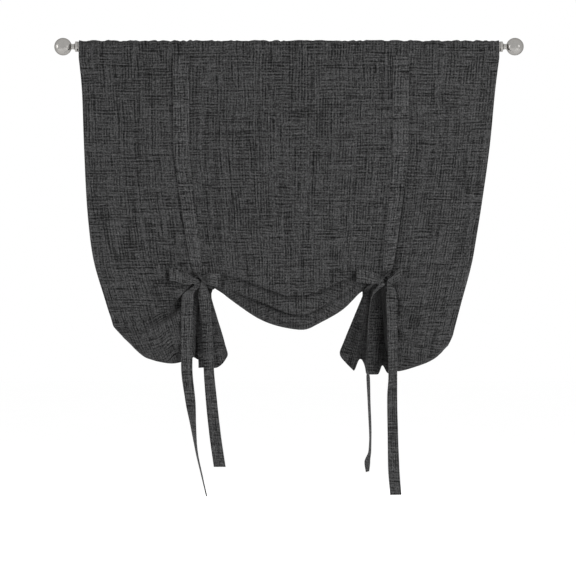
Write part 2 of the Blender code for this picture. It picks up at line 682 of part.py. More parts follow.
def back_strap(surface, side, loop_length, loop_rise, tail_shape):
    """Band behind the panel, turn under the swag, wrap over the knot, inboard loop and inboard tail."""
    strap = Strap(surface, side)
    under_place = side.under - side.tie
    narrow = KNOT_WIDTH / 2
    top = -POCKET_DEPTH - CLOTH_THICKNESS
    end = -TIE_DROP + 0.004
    y = -FRONT + STRAP_LIFT
    for share in np.linspace(0, 1, BAND_STEPS):
        z = mixed(top, end, share)
        level = (-z - POCKET_DEPTH) / (TIE_DROP - POCKET_DEPTH)
        half = band_half_width(share)
        aside = under_place * max(0.0, (share - 0.75) / 0.25) ** 1.5
        x = side.sign * (side.strap_line(min(level, 1.0)) + aside)
        lying = surface.outermost(x, z, half, 1) + STRAP_LIFT - CLOTH_THICKNESS / 2
        y = max(y, lying) if share > 0 else y
        strap.add(x, y, z, (side.sign * half, 0, 0))
    under_x = side.sign * (side.tie + under_place)
    edge = surface.lowest(under_x, narrow)
    under_z = edge - STRAP_LIFT - UNDER_GAP
    back_y = max(surface.outermost(under_x, z, narrow, 1) for z in np.linspace(end, edge + narrow, 5))
    back_y = max(back_y + STRAP_LIFT, y)
    front_y = surface.outermost(under_x, edge + 0.010, narrow, -1)
    four = STRAP_LIFT + 3 * STRAP_PITCH
    five = STRAP_LIFT + 4 * STRAP_PITCH
    pass_z = under_z - 0.002
    for y, z in ((back_y, end - 0.009), (back_y, under_z + 0.001), (back_y * 0.6, pass_z), (0.0, pass_z)):
        strap.add(under_x, y, z, (side.sign * narrow, 0, 0))
    strap.add(under_x, front_y, pass_z, (side.sign * narrow, 0, 0))
    strap.add(under_x, front_y - STRAP_LIFT - 0.003, under_z + 0.003, (side.sign * narrow, 0, 0))
    wide = BOW_WIDTH / 2
    turn = narrow + 0.002
    two = STRAP_LIFT + STRAP_PITCH
    stations = [
        (under_place * 0.86, under_z + TIE_DROP + 0.012, five, (1, 0, 0.6), narrow),
        (under_place * 0.4, -0.006, five, (1, 0, 1), narrow),
        (0.0, 0.009, five, (1, 0, 1), narrow),
        (0.005, 0.0145, (two + five) / 2, (1, 0, 1), narrow),
        (-0.001, 0.009, two + 0.0008, (1, 0, 1), narrow),
        (-turn, 0.001, two, (0.4, 0, 1), narrow),
        (-mixed(turn, loop_length, 0.35), loop_rise * 0.4, two, (0, 0, 1), mixed(narrow, wide, 0.7)),
        (-mixed(turn, loop_length, 0.75), loop_rise, two + 0.001, (0, 0, 1), wide),
        (-loop_length, loop_rise, two + 0.006, (0, 0, 1), wide),
        (-mixed(turn, loop_length, 0.75), loop_rise * 0.8, two + 0.013, (0, 0, 1), wide),
        (-mixed(turn, loop_length, 0.35), 0.0, five + 0.004, (0, 0, 1), mixed(narrow, wide, 0.7)),
        (-turn * 2.2, -narrow * 0.6, four, (0, 0, 1), narrow),
        (-turn * 1.45, -narrow * 0.6 - turn * 0.29, four, (1, 0, 1), narrow),
        (-turn * 1.15, -narrow * 0.6 - turn, four, (1, 0, 0), narrow),
    ]
    knot = Strap(surface, side)
    for outboard, up, lift, across, half in stations:
        knot.front(outboard, up, lift, across, half)
    strap.stations += [tuple(s) for s in along(knot.stations, 3)]
    tail(strap, four, TAIL_WIDTH, tail_shape)
    return strap.rows()


def build():
    clear_scene()
    parts = collection_named("tie_up_curtain")
    cloth = material_named("charcoal cloth", (0.045, 0.045, 0.046), 0.95, 0.0)
    nickel = material_named("brushed nickel", (0.55, 0.53, 0.50), 0.35, 1.0)
    panel = sheet_object("curtain_panel", panel_points(), CLOTH_THICKNESS, cloth, parts)
    bpy.context.view_layer.update()
    surface = Surface(panel)
    straps = {
        "strap_front_left": front_strap(surface, LEFT, LEFT_FRONT_LOOP, LEFT_FRONT_RISE, LEFT_OUTER_TAIL),
        "strap_front_right": front_strap(surface, RIGHT, RIGHT_FRONT_LOOP, RIGHT_FRONT_RISE, RIGHT_OUTER_TAIL),
        "strap_back_left": back_strap(surface, LEFT, LEFT_BACK_LOOP, LEFT_BACK_RISE, LEFT_INNER_TAIL),
        "strap_back_right": back_strap(surface, RIGHT, RIGHT_BACK_LOOP, RIGHT_BACK_RISE, RIGHT_INNER_TAIL),
    }
    for name, rows in straps.items():
        sheet_object(name, rows, STRAP_THICKNESS, cloth, parts)
    turned_object("curtain_rod", rod_profile(), 0, math.pi / 2, nickel, parts)
    end = ROD_LENGTH / 2 + CLEARANCE
    for word, sign in (("left", -1), ("right", 1)):
        turn = sign * math.pi / 2
        turned_object(f"finial_{word}", finial_profile(), sign * end, turn, nickel, parts)
        turned_object(f"rod_plug_{word}", plug_profile(), sign * end, turn, nickel, parts)


build()
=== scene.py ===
"""Looks of the tie-up curtain: slub cloth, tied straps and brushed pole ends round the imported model.

Metres, +Z up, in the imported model's frame: X runs along the pole, the front faces -Y and the origin is
the middle of the pole's axis.
"""

import math
from types import SimpleNamespace

import bpy
import numpy as np
from mathutils import Matrix, Vector
from mathutils.bvhtree import BVHTree


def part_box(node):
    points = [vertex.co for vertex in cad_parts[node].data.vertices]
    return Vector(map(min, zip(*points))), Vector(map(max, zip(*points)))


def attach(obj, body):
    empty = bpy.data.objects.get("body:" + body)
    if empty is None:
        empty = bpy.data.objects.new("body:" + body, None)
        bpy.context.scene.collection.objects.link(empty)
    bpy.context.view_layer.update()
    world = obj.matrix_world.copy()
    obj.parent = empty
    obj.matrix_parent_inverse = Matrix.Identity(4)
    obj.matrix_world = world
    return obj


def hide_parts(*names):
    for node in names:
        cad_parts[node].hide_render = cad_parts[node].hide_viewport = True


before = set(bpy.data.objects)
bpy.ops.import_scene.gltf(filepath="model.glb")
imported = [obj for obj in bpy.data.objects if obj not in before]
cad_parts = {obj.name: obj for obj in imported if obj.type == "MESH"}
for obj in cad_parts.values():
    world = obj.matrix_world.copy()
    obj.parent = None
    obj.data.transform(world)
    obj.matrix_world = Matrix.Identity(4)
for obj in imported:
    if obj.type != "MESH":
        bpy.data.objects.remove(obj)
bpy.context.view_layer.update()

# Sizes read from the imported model
ROD_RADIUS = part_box("curtain_rod")[1].z
PANEL_WIDTH = 2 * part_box("curtain_panel")[1].x
BALL_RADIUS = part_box("finial_right")[1].z
FINIAL_START, FINIAL_END = (corner.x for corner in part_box("finial_right"))

# Cloth, repeated from the solids' source
CLOTH_THICKNESS = 0.0015
POCKET_EASE = 0.0012
POCKET_DEPTH = 0.030
STRAP_TOP_WIDTH = 0.042
TAIL_WIDTH = 0.030
STRAP_THICKNESS = 0.0012
BOW_WIDTH = 0.033
KNOT_WIDTH = 0.016
BAND_END_WIDTH = 0.023
SEAM_LAP = 0.006

# Drop of the ties below the pole's axis, and of the swag below the ties
TIE_DROP = 0.590
SWAG_DROP = 0.128

# How far the cloth stands out, and how its folds and layers lie
POUF_BULGE = 0.032
SWAG_BULGE = 0.018
BACK_BULGE = 0.014
FOLD_LAP = 0.012
FOLD_LAPS = (FOLD_LAP, FOLD_LAP, FOLD_LAP * 0.5)
CREASE_RECESS = 1.8
SWAG_RECESS = 0.2
FOLD_PITCH = 0.0045
LAYER_PITCH = 0.0045
STRAP_PITCH = 0.0030
CLEARANCE = 0.0003
UNDER_GAP = 0.0012

# Middle of the cloth over the rod, and of a strap that lies on the cloth
FRONT = ROD_RADIUS + POCKET_EASE + CLOTH_THICKNESS / 2
STRAP_LIFT = CLOTH_THICKNESS / 2 + CLEARANCE + STRAP_THICKNESS / 2

# Sewing
SEAM_GROOVE = 0.0012
SEAM_WIDTH = 0.004
SIDE_HEM = 0.022
BOTTOM_HEM = 0.030
HEM_RISE = 0.0007
STITCH_PITCH = 0.0042
STITCH_LENGTH = 0.0030
STITCH_RADIUS = 0.00032

# Straps: steps of the band, between stations of the knot and of the tail, half widths and layers in the
# knot, height of the patch that a strap lies on, and how soon a tail is wide and settled
BAND_STEPS = 60
KNOT_STEPS = 8
TAIL_STEPS = 70
NARROW = KNOT_WIDTH / 2
WIDE = BOW_WIDTH / 2
LAYERS = [STRAP_LIFT + k * STRAP_PITCH for k in range(5)]
PATCH_HEIGHT = 0.007
TAIL_WIDENS = 0.03
TAIL_SETTLES = 0.05

# Waves and wrinkles: height, cell size across the cloth and down it, seed
WAVES = (0.0016, 0.11, 0.5, 3)
WRINKLES = (0.0006, 0.045, 0.16, 5)
CRUMPLES = (0.00025, 0.016, 0.02, 7)
RUFFLES = (0.0024, 0.008, 0.09, 9)
STRAP_WAVES = (0.0006, 0.03, 0.05)
NOISE_CELLS = 96
FIRST_STRAP_SEED = 11

# Small folds round a knot: height, reach, where they begin, cells round it (radians) and outwards
GATHER_HEIGHT = 0.0035
GATHER_REACH = 0.13
GATHER_START = (0.010, 0.045)
GATHER_CELLS = (0.26, 0.20)
GATHER_SEED = 21

# Flat sizes that the pieces were cut to
STRAP_CUT_WIDTH = 0.040

# Shares of the drop to the tie at which the hanging part has a row
LEVELS = np.array([[0.03, 0.08, 0.16, 0.24, 0.32, 0.40, 0.48, 0.56, 0.64, 0.71, 0.78, 0.84, 0.90]]).T

# Hidden rows from the bottom of the folds up to the neck: share of the way and of the depth
RETURN_ROWS = ((0.08, 0.55), (0.5, 1.0), (0.85, 0.8))

# Rows of the gathered cloth from the neck to the hem, and how much fuller the hem is than its model
NECK_SHARES = (0.0, 0.12, 0.3, 0.6, 0.85, 1.0)
NECK_ROWS = 2 + len(NECK_SHARES)
HEM_FULLNESS = 1.25

# Grid of the cloth. The seam in front is the row after the pocket's own rows.
POCKET_ARC = range(-45, 181, 15)
SEAM_ROW = 1 + len(POCKET_ARC)
SIDE_COLUMNS = 56
JABOT_COLUMNS = 30
SWAG_COLUMNS = 44
ROW_SPACING = 0.0050
FLAT_SPACING = 0.013
CORNER_ROUNDS = 3

# Where a strap starts to draw in towards its tie, and how. The crease beside it lies off its edge.
PULL_START = 0.4
PULL_CURVE = 1.15
EDGE_LEVELS = (0.0, 0.45, 0.75, 1.0)
STRAP_EDGES = (0.020, 0.019, 0.015, 0.010)
STRAP_CREASE_LEVELS = (0.0, 0.08, 0.5, 0.93, 1.0)
STRAP_CREASE_GAP = 0.003
STRAP_CREASE_WIDTH = 0.0045

# The cloth's outlines, as shapes. A side runs from its hem, 0, to its strap, 1, and a place along the
# pole runs from the corner of the panel, 0, to the tie, 1. Depths are shares of the drop that they name.
SIDE_LEVELS = (0.0, 0.14, 0.38, 0.64, 0.84, 1.0)
FOLD_STATIONS = (0.0, 0.2, 0.4, 0.6, 0.8, 1.0)
BOTTOM_STATIONS = (0.0, 0.2, 0.45, 0.7, 0.86, 1.0)
SWAG_STATIONS = (0.0, 0.1, 0.2, 0.37, 0.5, 0.56, 0.64, 0.76, 0.9, 1.0)
SWAG_EDGE = (0.11, 0.19, 0.49, 0.86, 0.98, 1.0, 0.87, 0.62, 0.19, 0.12)
SWAG_FOLDS = (
    (0.04, -0.06, 0.0, 0.22, 0.34, 0.32, 0.24, 0.06, -0.10, 0.0),
    (0.09, 0.14, 0.30, 0.52, 0.70, 0.71, 0.58, 0.34, 0.10, 0.06),
    (0.125, 0.18, 0.42, 0.72, 0.90, 0.92, 0.80, 0.54, 0.17, 0.11),
)
SWAG_FOLD_STRENGTHS = (
    (0.0, 0.4, 0.6, 0.9, 1.0, 1.0, 1.0, 0.8, 0.3, 0.0),
    (0.0, 0.0, 0.4, 0.9, 1.0, 1.0, 0.9, 0.5, 0.0, 0.0),
    (0.0, 0.0, 0.0, 0.3, 0.5, 0.5, 0.4, 0.0, 0.0, 0.0),
)

# Share of the cloth between the ties that goes down into each gathered end
SWAG_LEAVES_JABOT = 0.19


def eased(a, b, slope_a, slope_b, t):
    """From a to b on a cubic curve that leaves and arrives with the given slopes."""
    return (
        a * (1 + 2 * t) * (1 - t) ** 2
        + slope_a * t * (1 - t) ** 2
        + b * t**2 * (3 - 2 * t)
        + slope_b * t**2 * (t - 1)
    )


def smooth_between(knots, values, at):
    """A smooth curve through the values at the knots, with no overshoot, read at each place in at."""
    knots = np.asarray(knots, float)
    values = np.asarray(values, float)
    steps = np.diff(knots)
    slopes = np.diff(values) / steps
    before, after = slopes[:-1], slopes[1:]
    same_way = before * after > 0
    inner = np.where(same_way, 2 * before * after / np.where(same_way, before + after, 1.0), 0.0)
    tangents = np.concatenate([slopes[:1], inner, slopes[-1:]])
    at = np.clip(np.asarray(at, float), knots[0], knots[-1])
    i = np.clip(np.searchsorted(knots, at, side="right") - 1, 0, len(steps) - 1)
    t = (at - knots[i]) / steps[i]
    return eased(values[i], values[i + 1], tangents[i] * steps[i], tangents[i + 1] * steps[i], t)


def read(table, at):
    """The other columns of a table, smoothly between its rows, for places of its first column."""
    places, *columns = zip(*table)
    return [smooth_between(places, column, at) for column in columns]


def mixed(a, b, share):
    return a + (b - a) * share


def stacked(x, y, z):
    """One row of the cloth: the columns' points as an array of (x, y, z)."""
    return np.stack(np.broadcast_arrays(np.asarray(x, float), y, z), axis=-1)


def distances(path):
    """Distance along a line of points, at each of them."""
    return np.concatenate([[0.0], np.cumsum(np.linalg.norm(np.diff(path, axis=0), axis=1))])


def soft_noise(u, v, cell_u, cell_v, seed):
    """Smooth noise from -1 to 1 over the flat cloth, with the given cell sizes."""
    lattice = np.random.default_rng(seed).uniform(-1, 1, (NOISE_CELLS + 1, NOISE_CELLS + 1))
    x = np.asarray(u) / cell_u + 40.5
    y = np.asarray(v) / cell_v + 11.5
    i, j = np.floor(x).astype(int), np.floor(y).astype(int)
    s, t = x - i, y - j
    s, t = s * s * (3 - 2 * s), t * t * (3 - 2 * t)
    i, j = i % NOISE_CELLS, j % NOISE_CELLS
    low = mixed(lattice[i, j], lattice[i + 1, j], s)
    high = mixed(lattice[i, j + 1], lattice[i + 1, j + 1], s)
    return mixed(low, high, t)


class Side(SimpleNamespace):
    """One side of the curtain, outside its strap.

    sign: -1 on the left and +1 on the right.
    tie, strap, under: places along the pole of the knot, the strap's seam and its turn under the swag.
    pouf, jabot: drops of the puffed and of the gathered cloth below the tie.
    pulls: how far the side hem is drawn in, at SIDE_LEVELS.
    crease, bottom: lines of the puffed cloth, at FOLD_STATIONS and BOTTOM_STATIONS.
    strengths: how sharp the crease and the two folds below it are, at FOLD_STATIONS.
    strap_crease: depth of the crease beside the front strap, at STRAP_CREASE_LEVELS.
    hem: cloth place, distance inboard of the tie, share of the jabot's drop, distance behind the neck.
        Places over 1 are the swag's first columns.
    neck: cloth place and distance inboard of the tie, in the tie's loop.
    outer_loop, inner_loop: length and rise of the bow's loops. leaves: where the outer tail leaves.
    outer_tail, inner_tail: drop below the tie, distance outboard of it, half width across the view and
        towards it, as shares.
    """

    def strap_line(self, level):
        """Distance from the middle to the strap, which draws in towards the tie."""
        drawn = np.maximum(0.0, (level - PULL_START) / (1 - PULL_START)) ** PULL_CURVE
        return self.strap + (self.tie - self.strap) * drawn

    def line(self, stations, shape, at):
        """Points of a fold given by places and depths, read at cloth places."""
        places, depths = zip(*shape)
        place = smooth_between(stations, places, at)
        x = mixed(PANEL_WIDTH / 2, self.tie, place)
        z = -TIE_DROP - self.pouf * smooth_between(stations, depths, at)
        return self.sign * x, z

    def hem_at(self, at):
        """Hem points: x, z and the distance behind the neck."""
        inboard, depth, behind = read(self.hem, at)
        return self.sign * (self.tie - inboard), -TIE_DROP - self.jabot * depth, behind

    def neck_at(self, at):
        """Places of the gathered cloth in the tie's loop."""
        return self.sign * (self.tie - read(self.neck, at)[0])


LEFT = Side(
    sign=-1,
    tie=0.229,
    strap=0.273,
    under=0.199,
    pouf=0.213,
    jabot=0.236,
    pulls=(0.0, 0.008, 0.013, 0.020, 0.031, 0.048),
    crease=((0.283, 0.548), (0.45, 0.583), (0.592, 0.50), (0.725, 0.381), (0.842, 0.226), (0.975, 0.06)),
    bottom=((0.39, 0.715), (0.575, 0.94), (0.767, 1.0), (0.892, 0.965), (0.965, 0.91), (0.985, 0.30)),
    strengths=(
        (0.1, 0.5, 0.7, 1.0, 1.0, 0.4), (0.0, 0.0, 0.1, 0.2, 0.3, 0.0), (0.0, 0.0, 0.2, 0.4, 0.3, 0.0),
    ),
    strap_crease=(0.002, 0.005, 0.005, 0.004, 0.0),
    hem=(
        (0.0, -0.014, 0.84, -0.022), (0.2, 0.008, 0.89, -0.028), (0.33, 0.010, 0.895, -0.032),
        (0.48, -0.001, 0.955, -0.038), (0.62, 0.013, 0.95, -0.044), (0.84, 0.043, 0.955, -0.045),
        (0.95, 0.060, 0.915, -0.042), (1.0, 0.0685, 0.865, -0.038), (1.05, 0.0745, 0.80, -0.030),
        (1.09, 0.053, 0.58, -0.018), (1.13, 0.035, 0.34, -0.008), (1.17, 0.028, 0.06, 0.0),
    ),
    neck=((0.0, -0.013), (0.48, -0.011), (0.62, -0.003), (0.84, 0.012), (1.0, 0.020), (1.2, 0.028)),
    outer_loop=(0.072, 0.012),
    inner_loop=(0.056, -0.004),
    leaves=0.002,
    outer_tail=(
        (0.041, 0.0265, 1.0, 0.0), (0.120, 0.029, 1.0, 0.0), (0.220, 0.029, 0.96, 0.2),
        (0.307, 0.020, 0.86, 0.4), (0.368, 0.013, 0.5, 0.8), (0.430, 0.005, 0.22, 0.97),
        (0.500, -0.010, 0.15, 0.98), (0.548, -0.021, 0.12, 0.98),
    ),
    inner_tail=(
        (0.036, -0.014, 1.0, 0.0), (0.132, -0.022, 0.85, 0.3), (0.231, -0.0265, 0.88, 0.3),
        (0.307, -0.033, 0.95, 0.2), (0.399, -0.043, 0.98, 0.1), (0.475, -0.054, 1.0, 0.0),
    ),
)
RIGHT = Side(
    sign=1,
    tie=0.246,
    strap=0.283,
    under=0.199,
    pouf=0.234,
    jabot=0.243,
    pulls=(0.0, 0.010, 0.023, 0.043, 0.061, 0.077),
    crease=((0.412, 0.606), (0.544, 0.65), (0.675, 0.617), (0.79, 0.479), (0.895, 0.298), (0.985, 0.074)),
    bottom=((0.456, 0.723), (0.579, 0.862), (0.737, 0.947), (0.90, 1.0), (0.955, 0.92), (0.985, 0.30)),
    strengths=(
        (0.0, 0.1, 0.35, 0.5, 0.4, 0.1), (0.0, 0.1, 0.2, 0.3, 0.5, 0.1),
        (0.0, 0.0, 0.1, 0.45, 0.5, 0.0),
    ),
    strap_crease=(0.0015, 0.003, 0.005, 0.009, 0.0),
    hem=(
        (0.0, -0.016, 0.985, 0.002), (0.13, -0.005, 0.99, 0.000), (0.25, 0.009, 0.895, 0.002),
        (0.33, 0.018, 1.0, -0.010), (0.43, 0.030, 1.0, -0.014), (0.54, 0.050, 1.0, -0.010),
        (0.60, 0.052, 0.93, 0.010), (0.70, 0.064, 0.83, 0.014), (0.80, 0.079, 0.965, -0.008),
        (0.92, 0.089, 0.93, -0.004), (1.0, 0.102, 0.875, -0.006), (1.05, 0.118, 0.77, -0.006),
        (1.09, 0.096, 0.585, -0.002), (1.13, 0.070, 0.36, 0.0), (1.17, 0.052, 0.09, 0.0),
    ),
    neck=(
        (0.0, -0.013), (0.25, -0.004), (0.43, 0.014), (0.56, 0.034), (0.80, 0.040), (1.0, 0.044),
        (1.2, 0.050),
    ),
    outer_loop=(0.040, 0.010),
    inner_loop=(0.076, 0.008),
    leaves=0.009,
    outer_tail=(
        (0.036, 0.014, 1.0, 0.0), (0.130, 0.015, 0.85, 0.3), (0.246, 0.016, 0.75, 0.4),
        (0.297, 0.0145, 0.85, 0.3), (0.389, 0.016, 0.88, 0.3), (0.480, 0.0185, 0.95, 0.2),
        (0.545, 0.0235, 0.95, 0.2),
    ),
    inner_tail=(
        (0.034, -0.030, 0.25, 0.97), (0.050, -0.038, 0.02, 1.0), (0.130, -0.0455, 0.01, 1.0),
        (0.225, -0.0475, 0.06, 0.99), (0.250, -0.0460, 0.29, 0.96), (0.307, -0.0440, 0.24, 0.97),
        (0.399, -0.0404, 0.20, 0.98), (0.435, -0.0417, 0.25, 0.97), (0.462, -0.0480, 0.50, 0.85),
        (0.487, -0.0475, 0.30, 0.95),
    ),
)


def level_at(z):
    """Share of the drop from the pocket's seam to the ties."""
    return (-z - POCKET_DEPTH) / (TIE_DROP - POCKET_DEPTH)


def hanging_rows(top, places, bulge, power):
    """Rows up behind the rod, over it to the seam and down to the ties. places holds x at the LEVELS."""
    sewn = FRONT - CLOTH_THICKNESS - CLEARANCE
    rows = [stacked(top, -sewn, -POCKET_DEPTH)]
    for degrees in POCKET_ARC:
        angle = math.radians(degrees)
        rows.append(stacked(top, FRONT * math.cos(angle), FRONT * math.sin(angle)))
    rows.append(stacked(top, -FRONT, -POCKET_DEPTH))
    for level, x in zip(LEVELS[:, 0], places):
        z = -POCKET_DEPTH - (TIE_DROP - POCKET_DEPTH) * level
        rows.append(stacked(x, -FRONT - bulge * level**power, z))
    return rows


def folded_rows(above, lines, strengths, recess):
    """Rows of folds one below another, whose upper layers overhang the lower ones.

    lines are the folds' lowest lines and then the bottom of all. Where a strength is 0, rows lie evenly.
    """
    shape = ((-0.8, 0.3), (-1.1, 0.05), (0.1, 0.3), (1.0, 1.0), (2.0, 0.1))
    rows = []
    for line, below, strength, lap in zip(lines, lines[1:], strengths, FOLD_LAPS):
        upper = mixed(line, above, 0.4)
        lower = mixed(line, below, 0.3) + stacked(0, lap * recess * strength, 0)
        rows.append(upper)
        for k, (depth, height) in enumerate(shape, start=1):
            flat = mixed(upper, lower, k / (len(shape) + 1))
            folded = line + stacked(0, depth * FOLD_PITCH, height * lap)
            rows.append(mixed(flat, folded, strength[:, None]))
        rows.append(lower)
        above = line
    return rows + [lines[-1]]


def gathered_rows(low_x, low_z, neck_x, hem_x, hem_z, behind, puff=0.0, sag=0.0):
    """Rows from the bottom of the folds up to the neck, over the tie's loop and down to the hem.

    puff swells the cloth towards the back on its way up, and sag lowers the neck between the ties.
    """
    neck_z = -TIE_DROP - CLOTH_THICKNESS * 8 - sag
    rows = []
    for share, depth in RETURN_ROWS:
        y = BACK_BULGE * 0.7 * depth + puff * math.sin(math.pi * share)
        rows.append(stacked(mixed(low_x, neck_x, share), y, mixed(low_z, neck_z, share)))
    top = -TIE_DROP - CLOTH_THICKNESS * 4 - sag
    rows.append(stacked(neck_x, BACK_BULGE, top))
    rows.append(stacked(neck_x, BACK_BULGE + LAYER_PITCH * 0.8, top - CLOTH_THICKNESS * 2))
    start = top - CLOTH_THICKNESS * np.where(sag > 0, 4, 8)
    for share in NECK_SHARES:
        y = BACK_BULGE + LAYER_PITCH + behind * math.sqrt(share)
        rows.append(stacked(mixed(neck_x, hem_x, share), y, mixed(start, hem_z, share)))
    return rows


def side_rows(side, cloth):
    """Every row of the panel over the columns outside one strap. cloth runs from the hem to the strap."""
    swell = np.sin(math.pi * (0.15 + 0.85 * cloth))
    top = side.sign * mixed(PANEL_WIDTH / 2, side.strap, cloth)
    outer = PANEL_WIDTH / 2 - smooth_between(SIDE_LEVELS, side.pulls, LEVELS)
    places = side.sign * mixed(outer, side.strap_line(LEVELS), cloth)
    rows = hanging_rows(top, places, POUF_BULGE * 0.7 * swell, 4)
    crease_x, crease_z = side.line(FOLD_STATIONS, side.crease, cloth)
    bottom_x, bottom_z = side.line(BOTTOM_STATIONS, side.bottom, cloth)
    lines = []
    for share, fullness in ((0.0, 1.0), (0.36, 1.05), (0.72, 0.85)):
        y = -FRONT - POUF_BULGE * fullness * swell
        lines.append(stacked(mixed(crease_x, bottom_x, share), y, mixed(crease_z, bottom_z, share)))
    lines.append(stacked(bottom_x, -FRONT * 0.4 - POUF_BULGE * 0.4 * swell, bottom_z))
    strengths = [smooth_between(FOLD_STATIONS, strong, cloth) for strong in side.strengths]
    rows += folded_rows(rows[-1], lines, strengths, CREASE_RECESS)
    puff = POUF_BULGE * 0.6 * swell
    return rows + gathered_rows(bottom_x, bottom_z, side.neck_at(cloth), *side.hem_at(cloth), puff=puff)


def swag_edge(x):
    """Height of the swag's lower edge, for x from tie to tie."""
    place = (x + LEFT.tie) / (LEFT.tie + RIGHT.tie)
    return -TIE_DROP - SWAG_DROP * smooth_between(SWAG_STATIONS, SWAG_EDGE, place)


def swag_rows(cloth):
    """Every row over the columns between the straps. cloth runs from the left strap to the right one."""
    swell = np.sin(math.pi * cloth)
    places = mixed(-LEFT.strap_line(LEVELS), RIGHT.strap_line(LEVELS), cloth)
    rows = hanging_rows(mixed(-LEFT.strap, RIGHT.strap, cloth), places, SWAG_BULGE * 0.5 * swell, 3)
    tied_x = mixed(-LEFT.tie, RIGHT.tie, cloth)
    edge_z = swag_edge(tied_x)
    lines = []
    for depths in SWAG_FOLDS:
        z = -TIE_DROP - SWAG_DROP * smooth_between(SWAG_STATIONS, depths, cloth)
        lines.append(stacked(tied_x, -FRONT - SWAG_BULGE * swell, z))
    lines.append(stacked(tied_x, -FRONT * 0.4 - SWAG_BULGE * 0.5 * swell, edge_z))
    strengths = [smooth_between(SWAG_STATIONS, strong, cloth) for strong in SWAG_FOLD_STRENGTHS]
    rows += folded_rows(rows[-1], lines, strengths, SWAG_RECESS)
    near_side = np.clip(np.minimum(cloth, 1 - cloth) / SWAG_LEAVES_JABOT, 0, 1)
    span = np.clip((cloth - SWAG_LEAVES_JABOT) / (1 - 2 * SWAG_LEAVES_JABOT), 0, 1)
    neck_x = mixed(LEFT.neck_at(1 + cloth), RIGHT.neck_at(2 - cloth), span)
    both_hems = zip(LEFT.hem_at(1 + cloth), RIGHT.hem_at(2 - cloth))
    hem_x, hem_z, behind = (np.where(cloth < 0.5, left, right) for left, right in both_hems)
    hidden = smooth_between((0.9, 1.0), (0.0, 1.0), near_side)
    low_x = mixed(hem_x, tied_x, hidden)
    behind_z = swag_edge(low_x) + FOLD_LAP
    low_z = np.where(hidden > 0, np.maximum(mixed(hem_z, behind_z, hidden), behind_z), hem_z)
    sag = SWAG_DROP * 0.45 * np.sin(math.pi * span)
    return rows + gathered_rows(tied_x, edge_z, neck_x, low_x, low_z, behind, sag=sag)


def resampled(rows):
    """Rows made denser by a smooth curve down each column, and the place of each old row among them."""
    rows = np.array(rows)
    spans = np.maximum(np.linalg.norm(np.diff(rows, axis=0), axis=2), 1e-5)[:, :, None]
    slopes = np.diff(rows, axis=0) / spans
    inner = (spans[1:] * slopes[:-1] + spans[:-1] * slopes[1:]) / (spans[1:] + spans[:-1])
    tangents = np.concatenate([slopes[:1], inner, slopes[-1:]])
    made = []
    marks = []
    for k in range(len(rows) - 1):
        marks.append(len(made))
        flat = rows[k][:, 2].min() > -TIE_DROP * 0.9 and rows[k + 1][:, 1].max() < 0
        spacing = FLAT_SPACING if flat else ROW_SPACING
        steps = max(1, round(float(np.percentile(spans[k], 85)) / spacing))
        for step in range(steps):
            slopes_here = tangents[k] * spans[k], tangents[k + 1] * spans[k]
            made.append(eased(rows[k], rows[k + 1], *slopes_here, step / steps))
    return np.array(made + [rows[-1]]), marks


def grid_normals(points):
    """Unit normals of a grid of points, on the side that faces the room in the hanging part."""
    along = np.gradient(points, axis=0)
    across = np.gradient(points, axis=1)
    normal = np.cross(across, along)
    return normal / np.maximum(np.linalg.norm(normal, axis=2, keepdims=True), 1e-12)


def panel_grid():
    """The panel's points, from the pocket's sewn edge to the hem, and their places on the flat cloth."""
    side_cloth = np.linspace(0, 1, SIDE_COLUMNS + 1)
    jabot_cloth = (SWAG_LEAVES_JABOT + 0.01) * np.linspace(0, 1, JABOT_COLUMNS + 1)[1:] ** 1.35
    plain_cloth = np.linspace(jabot_cloth[-1], 1 - jabot_cloth[-1], SWAG_COLUMNS + 2)[1:-1]
    swag_cloth = np.concatenate([jabot_cloth, plain_cloth, 1 - jabot_cloth[::-1]])
    left = side_rows(LEFT, side_cloth)
    middle = swag_rows(swag_cloth)
    right = side_rows(RIGHT, side_cloth)
    rows = [np.concatenate([a, b, c[::-1]]) for a, b, c in zip(left, middle, right)]
    points, marks = resampled(rows)
    for _ in range(CORNER_ROUNDS):
        points[:, 1:-1] = points[:, 1:-1] * 0.5 + (points[:, :-2] + points[:, 2:]) * 0.25
    lengths = np.linalg.norm(np.diff(points, axis=0), axis=2)
    v = np.concatenate([np.zeros((1, points.shape[1])), np.cumsum(lengths, axis=0)])
    u = np.array(np.broadcast_to(points[0, :, 0], v.shape))
    bottom, neck = marks[-NECK_ROWS - len(RETURN_ROWS)], marks[1 - NECK_ROWS]
    u, v = gathered_places(points, u, v, bottom, neck)
    return creased(points, u, v, bottom), u, v, marks


def gathered_places(points, u, v, bottom, neck):
    """Places on the flat cloth, evened out past the neck over the hidden rows that lead up to it."""
    hem_u = distances(points[-1]) * HEM_FULLNESS
    neck_v = np.max(v[neck])
    share = (v[bottom:neck] - v[bottom]) / (v[neck] - v[bottom])
    v[neck:] += neck_v - v[neck]
    v[bottom:neck] = mixed(v[bottom], neck_v, share)
    u[bottom:neck] = mixed(u[bottom], hem_u, share)
    u[neck:] = hem_u
    return u, v


def gathers(points, side):
    """Height of the small folds that run out from a knot, outboard and down, and along the swag."""
    out = (points[:, :, 0] * side.sign - side.tie) + 1e-6
    up = points[:, :, 2] + TIE_DROP
    reach = np.hypot(out, up)
    angle = np.arctan2(up, out)
    fade = np.exp(-((reach / GATHER_REACH) ** 2)) * smooth_between(GATHER_START, (0.0, 1.0), reach)
    below = smooth_between((-0.2, 0.9), (1.0, 0.25), np.sin(angle))
    return GATHER_HEIGHT * fade * below * soft_noise(angle, reach, *GATHER_CELLS, GATHER_SEED + side.sign)


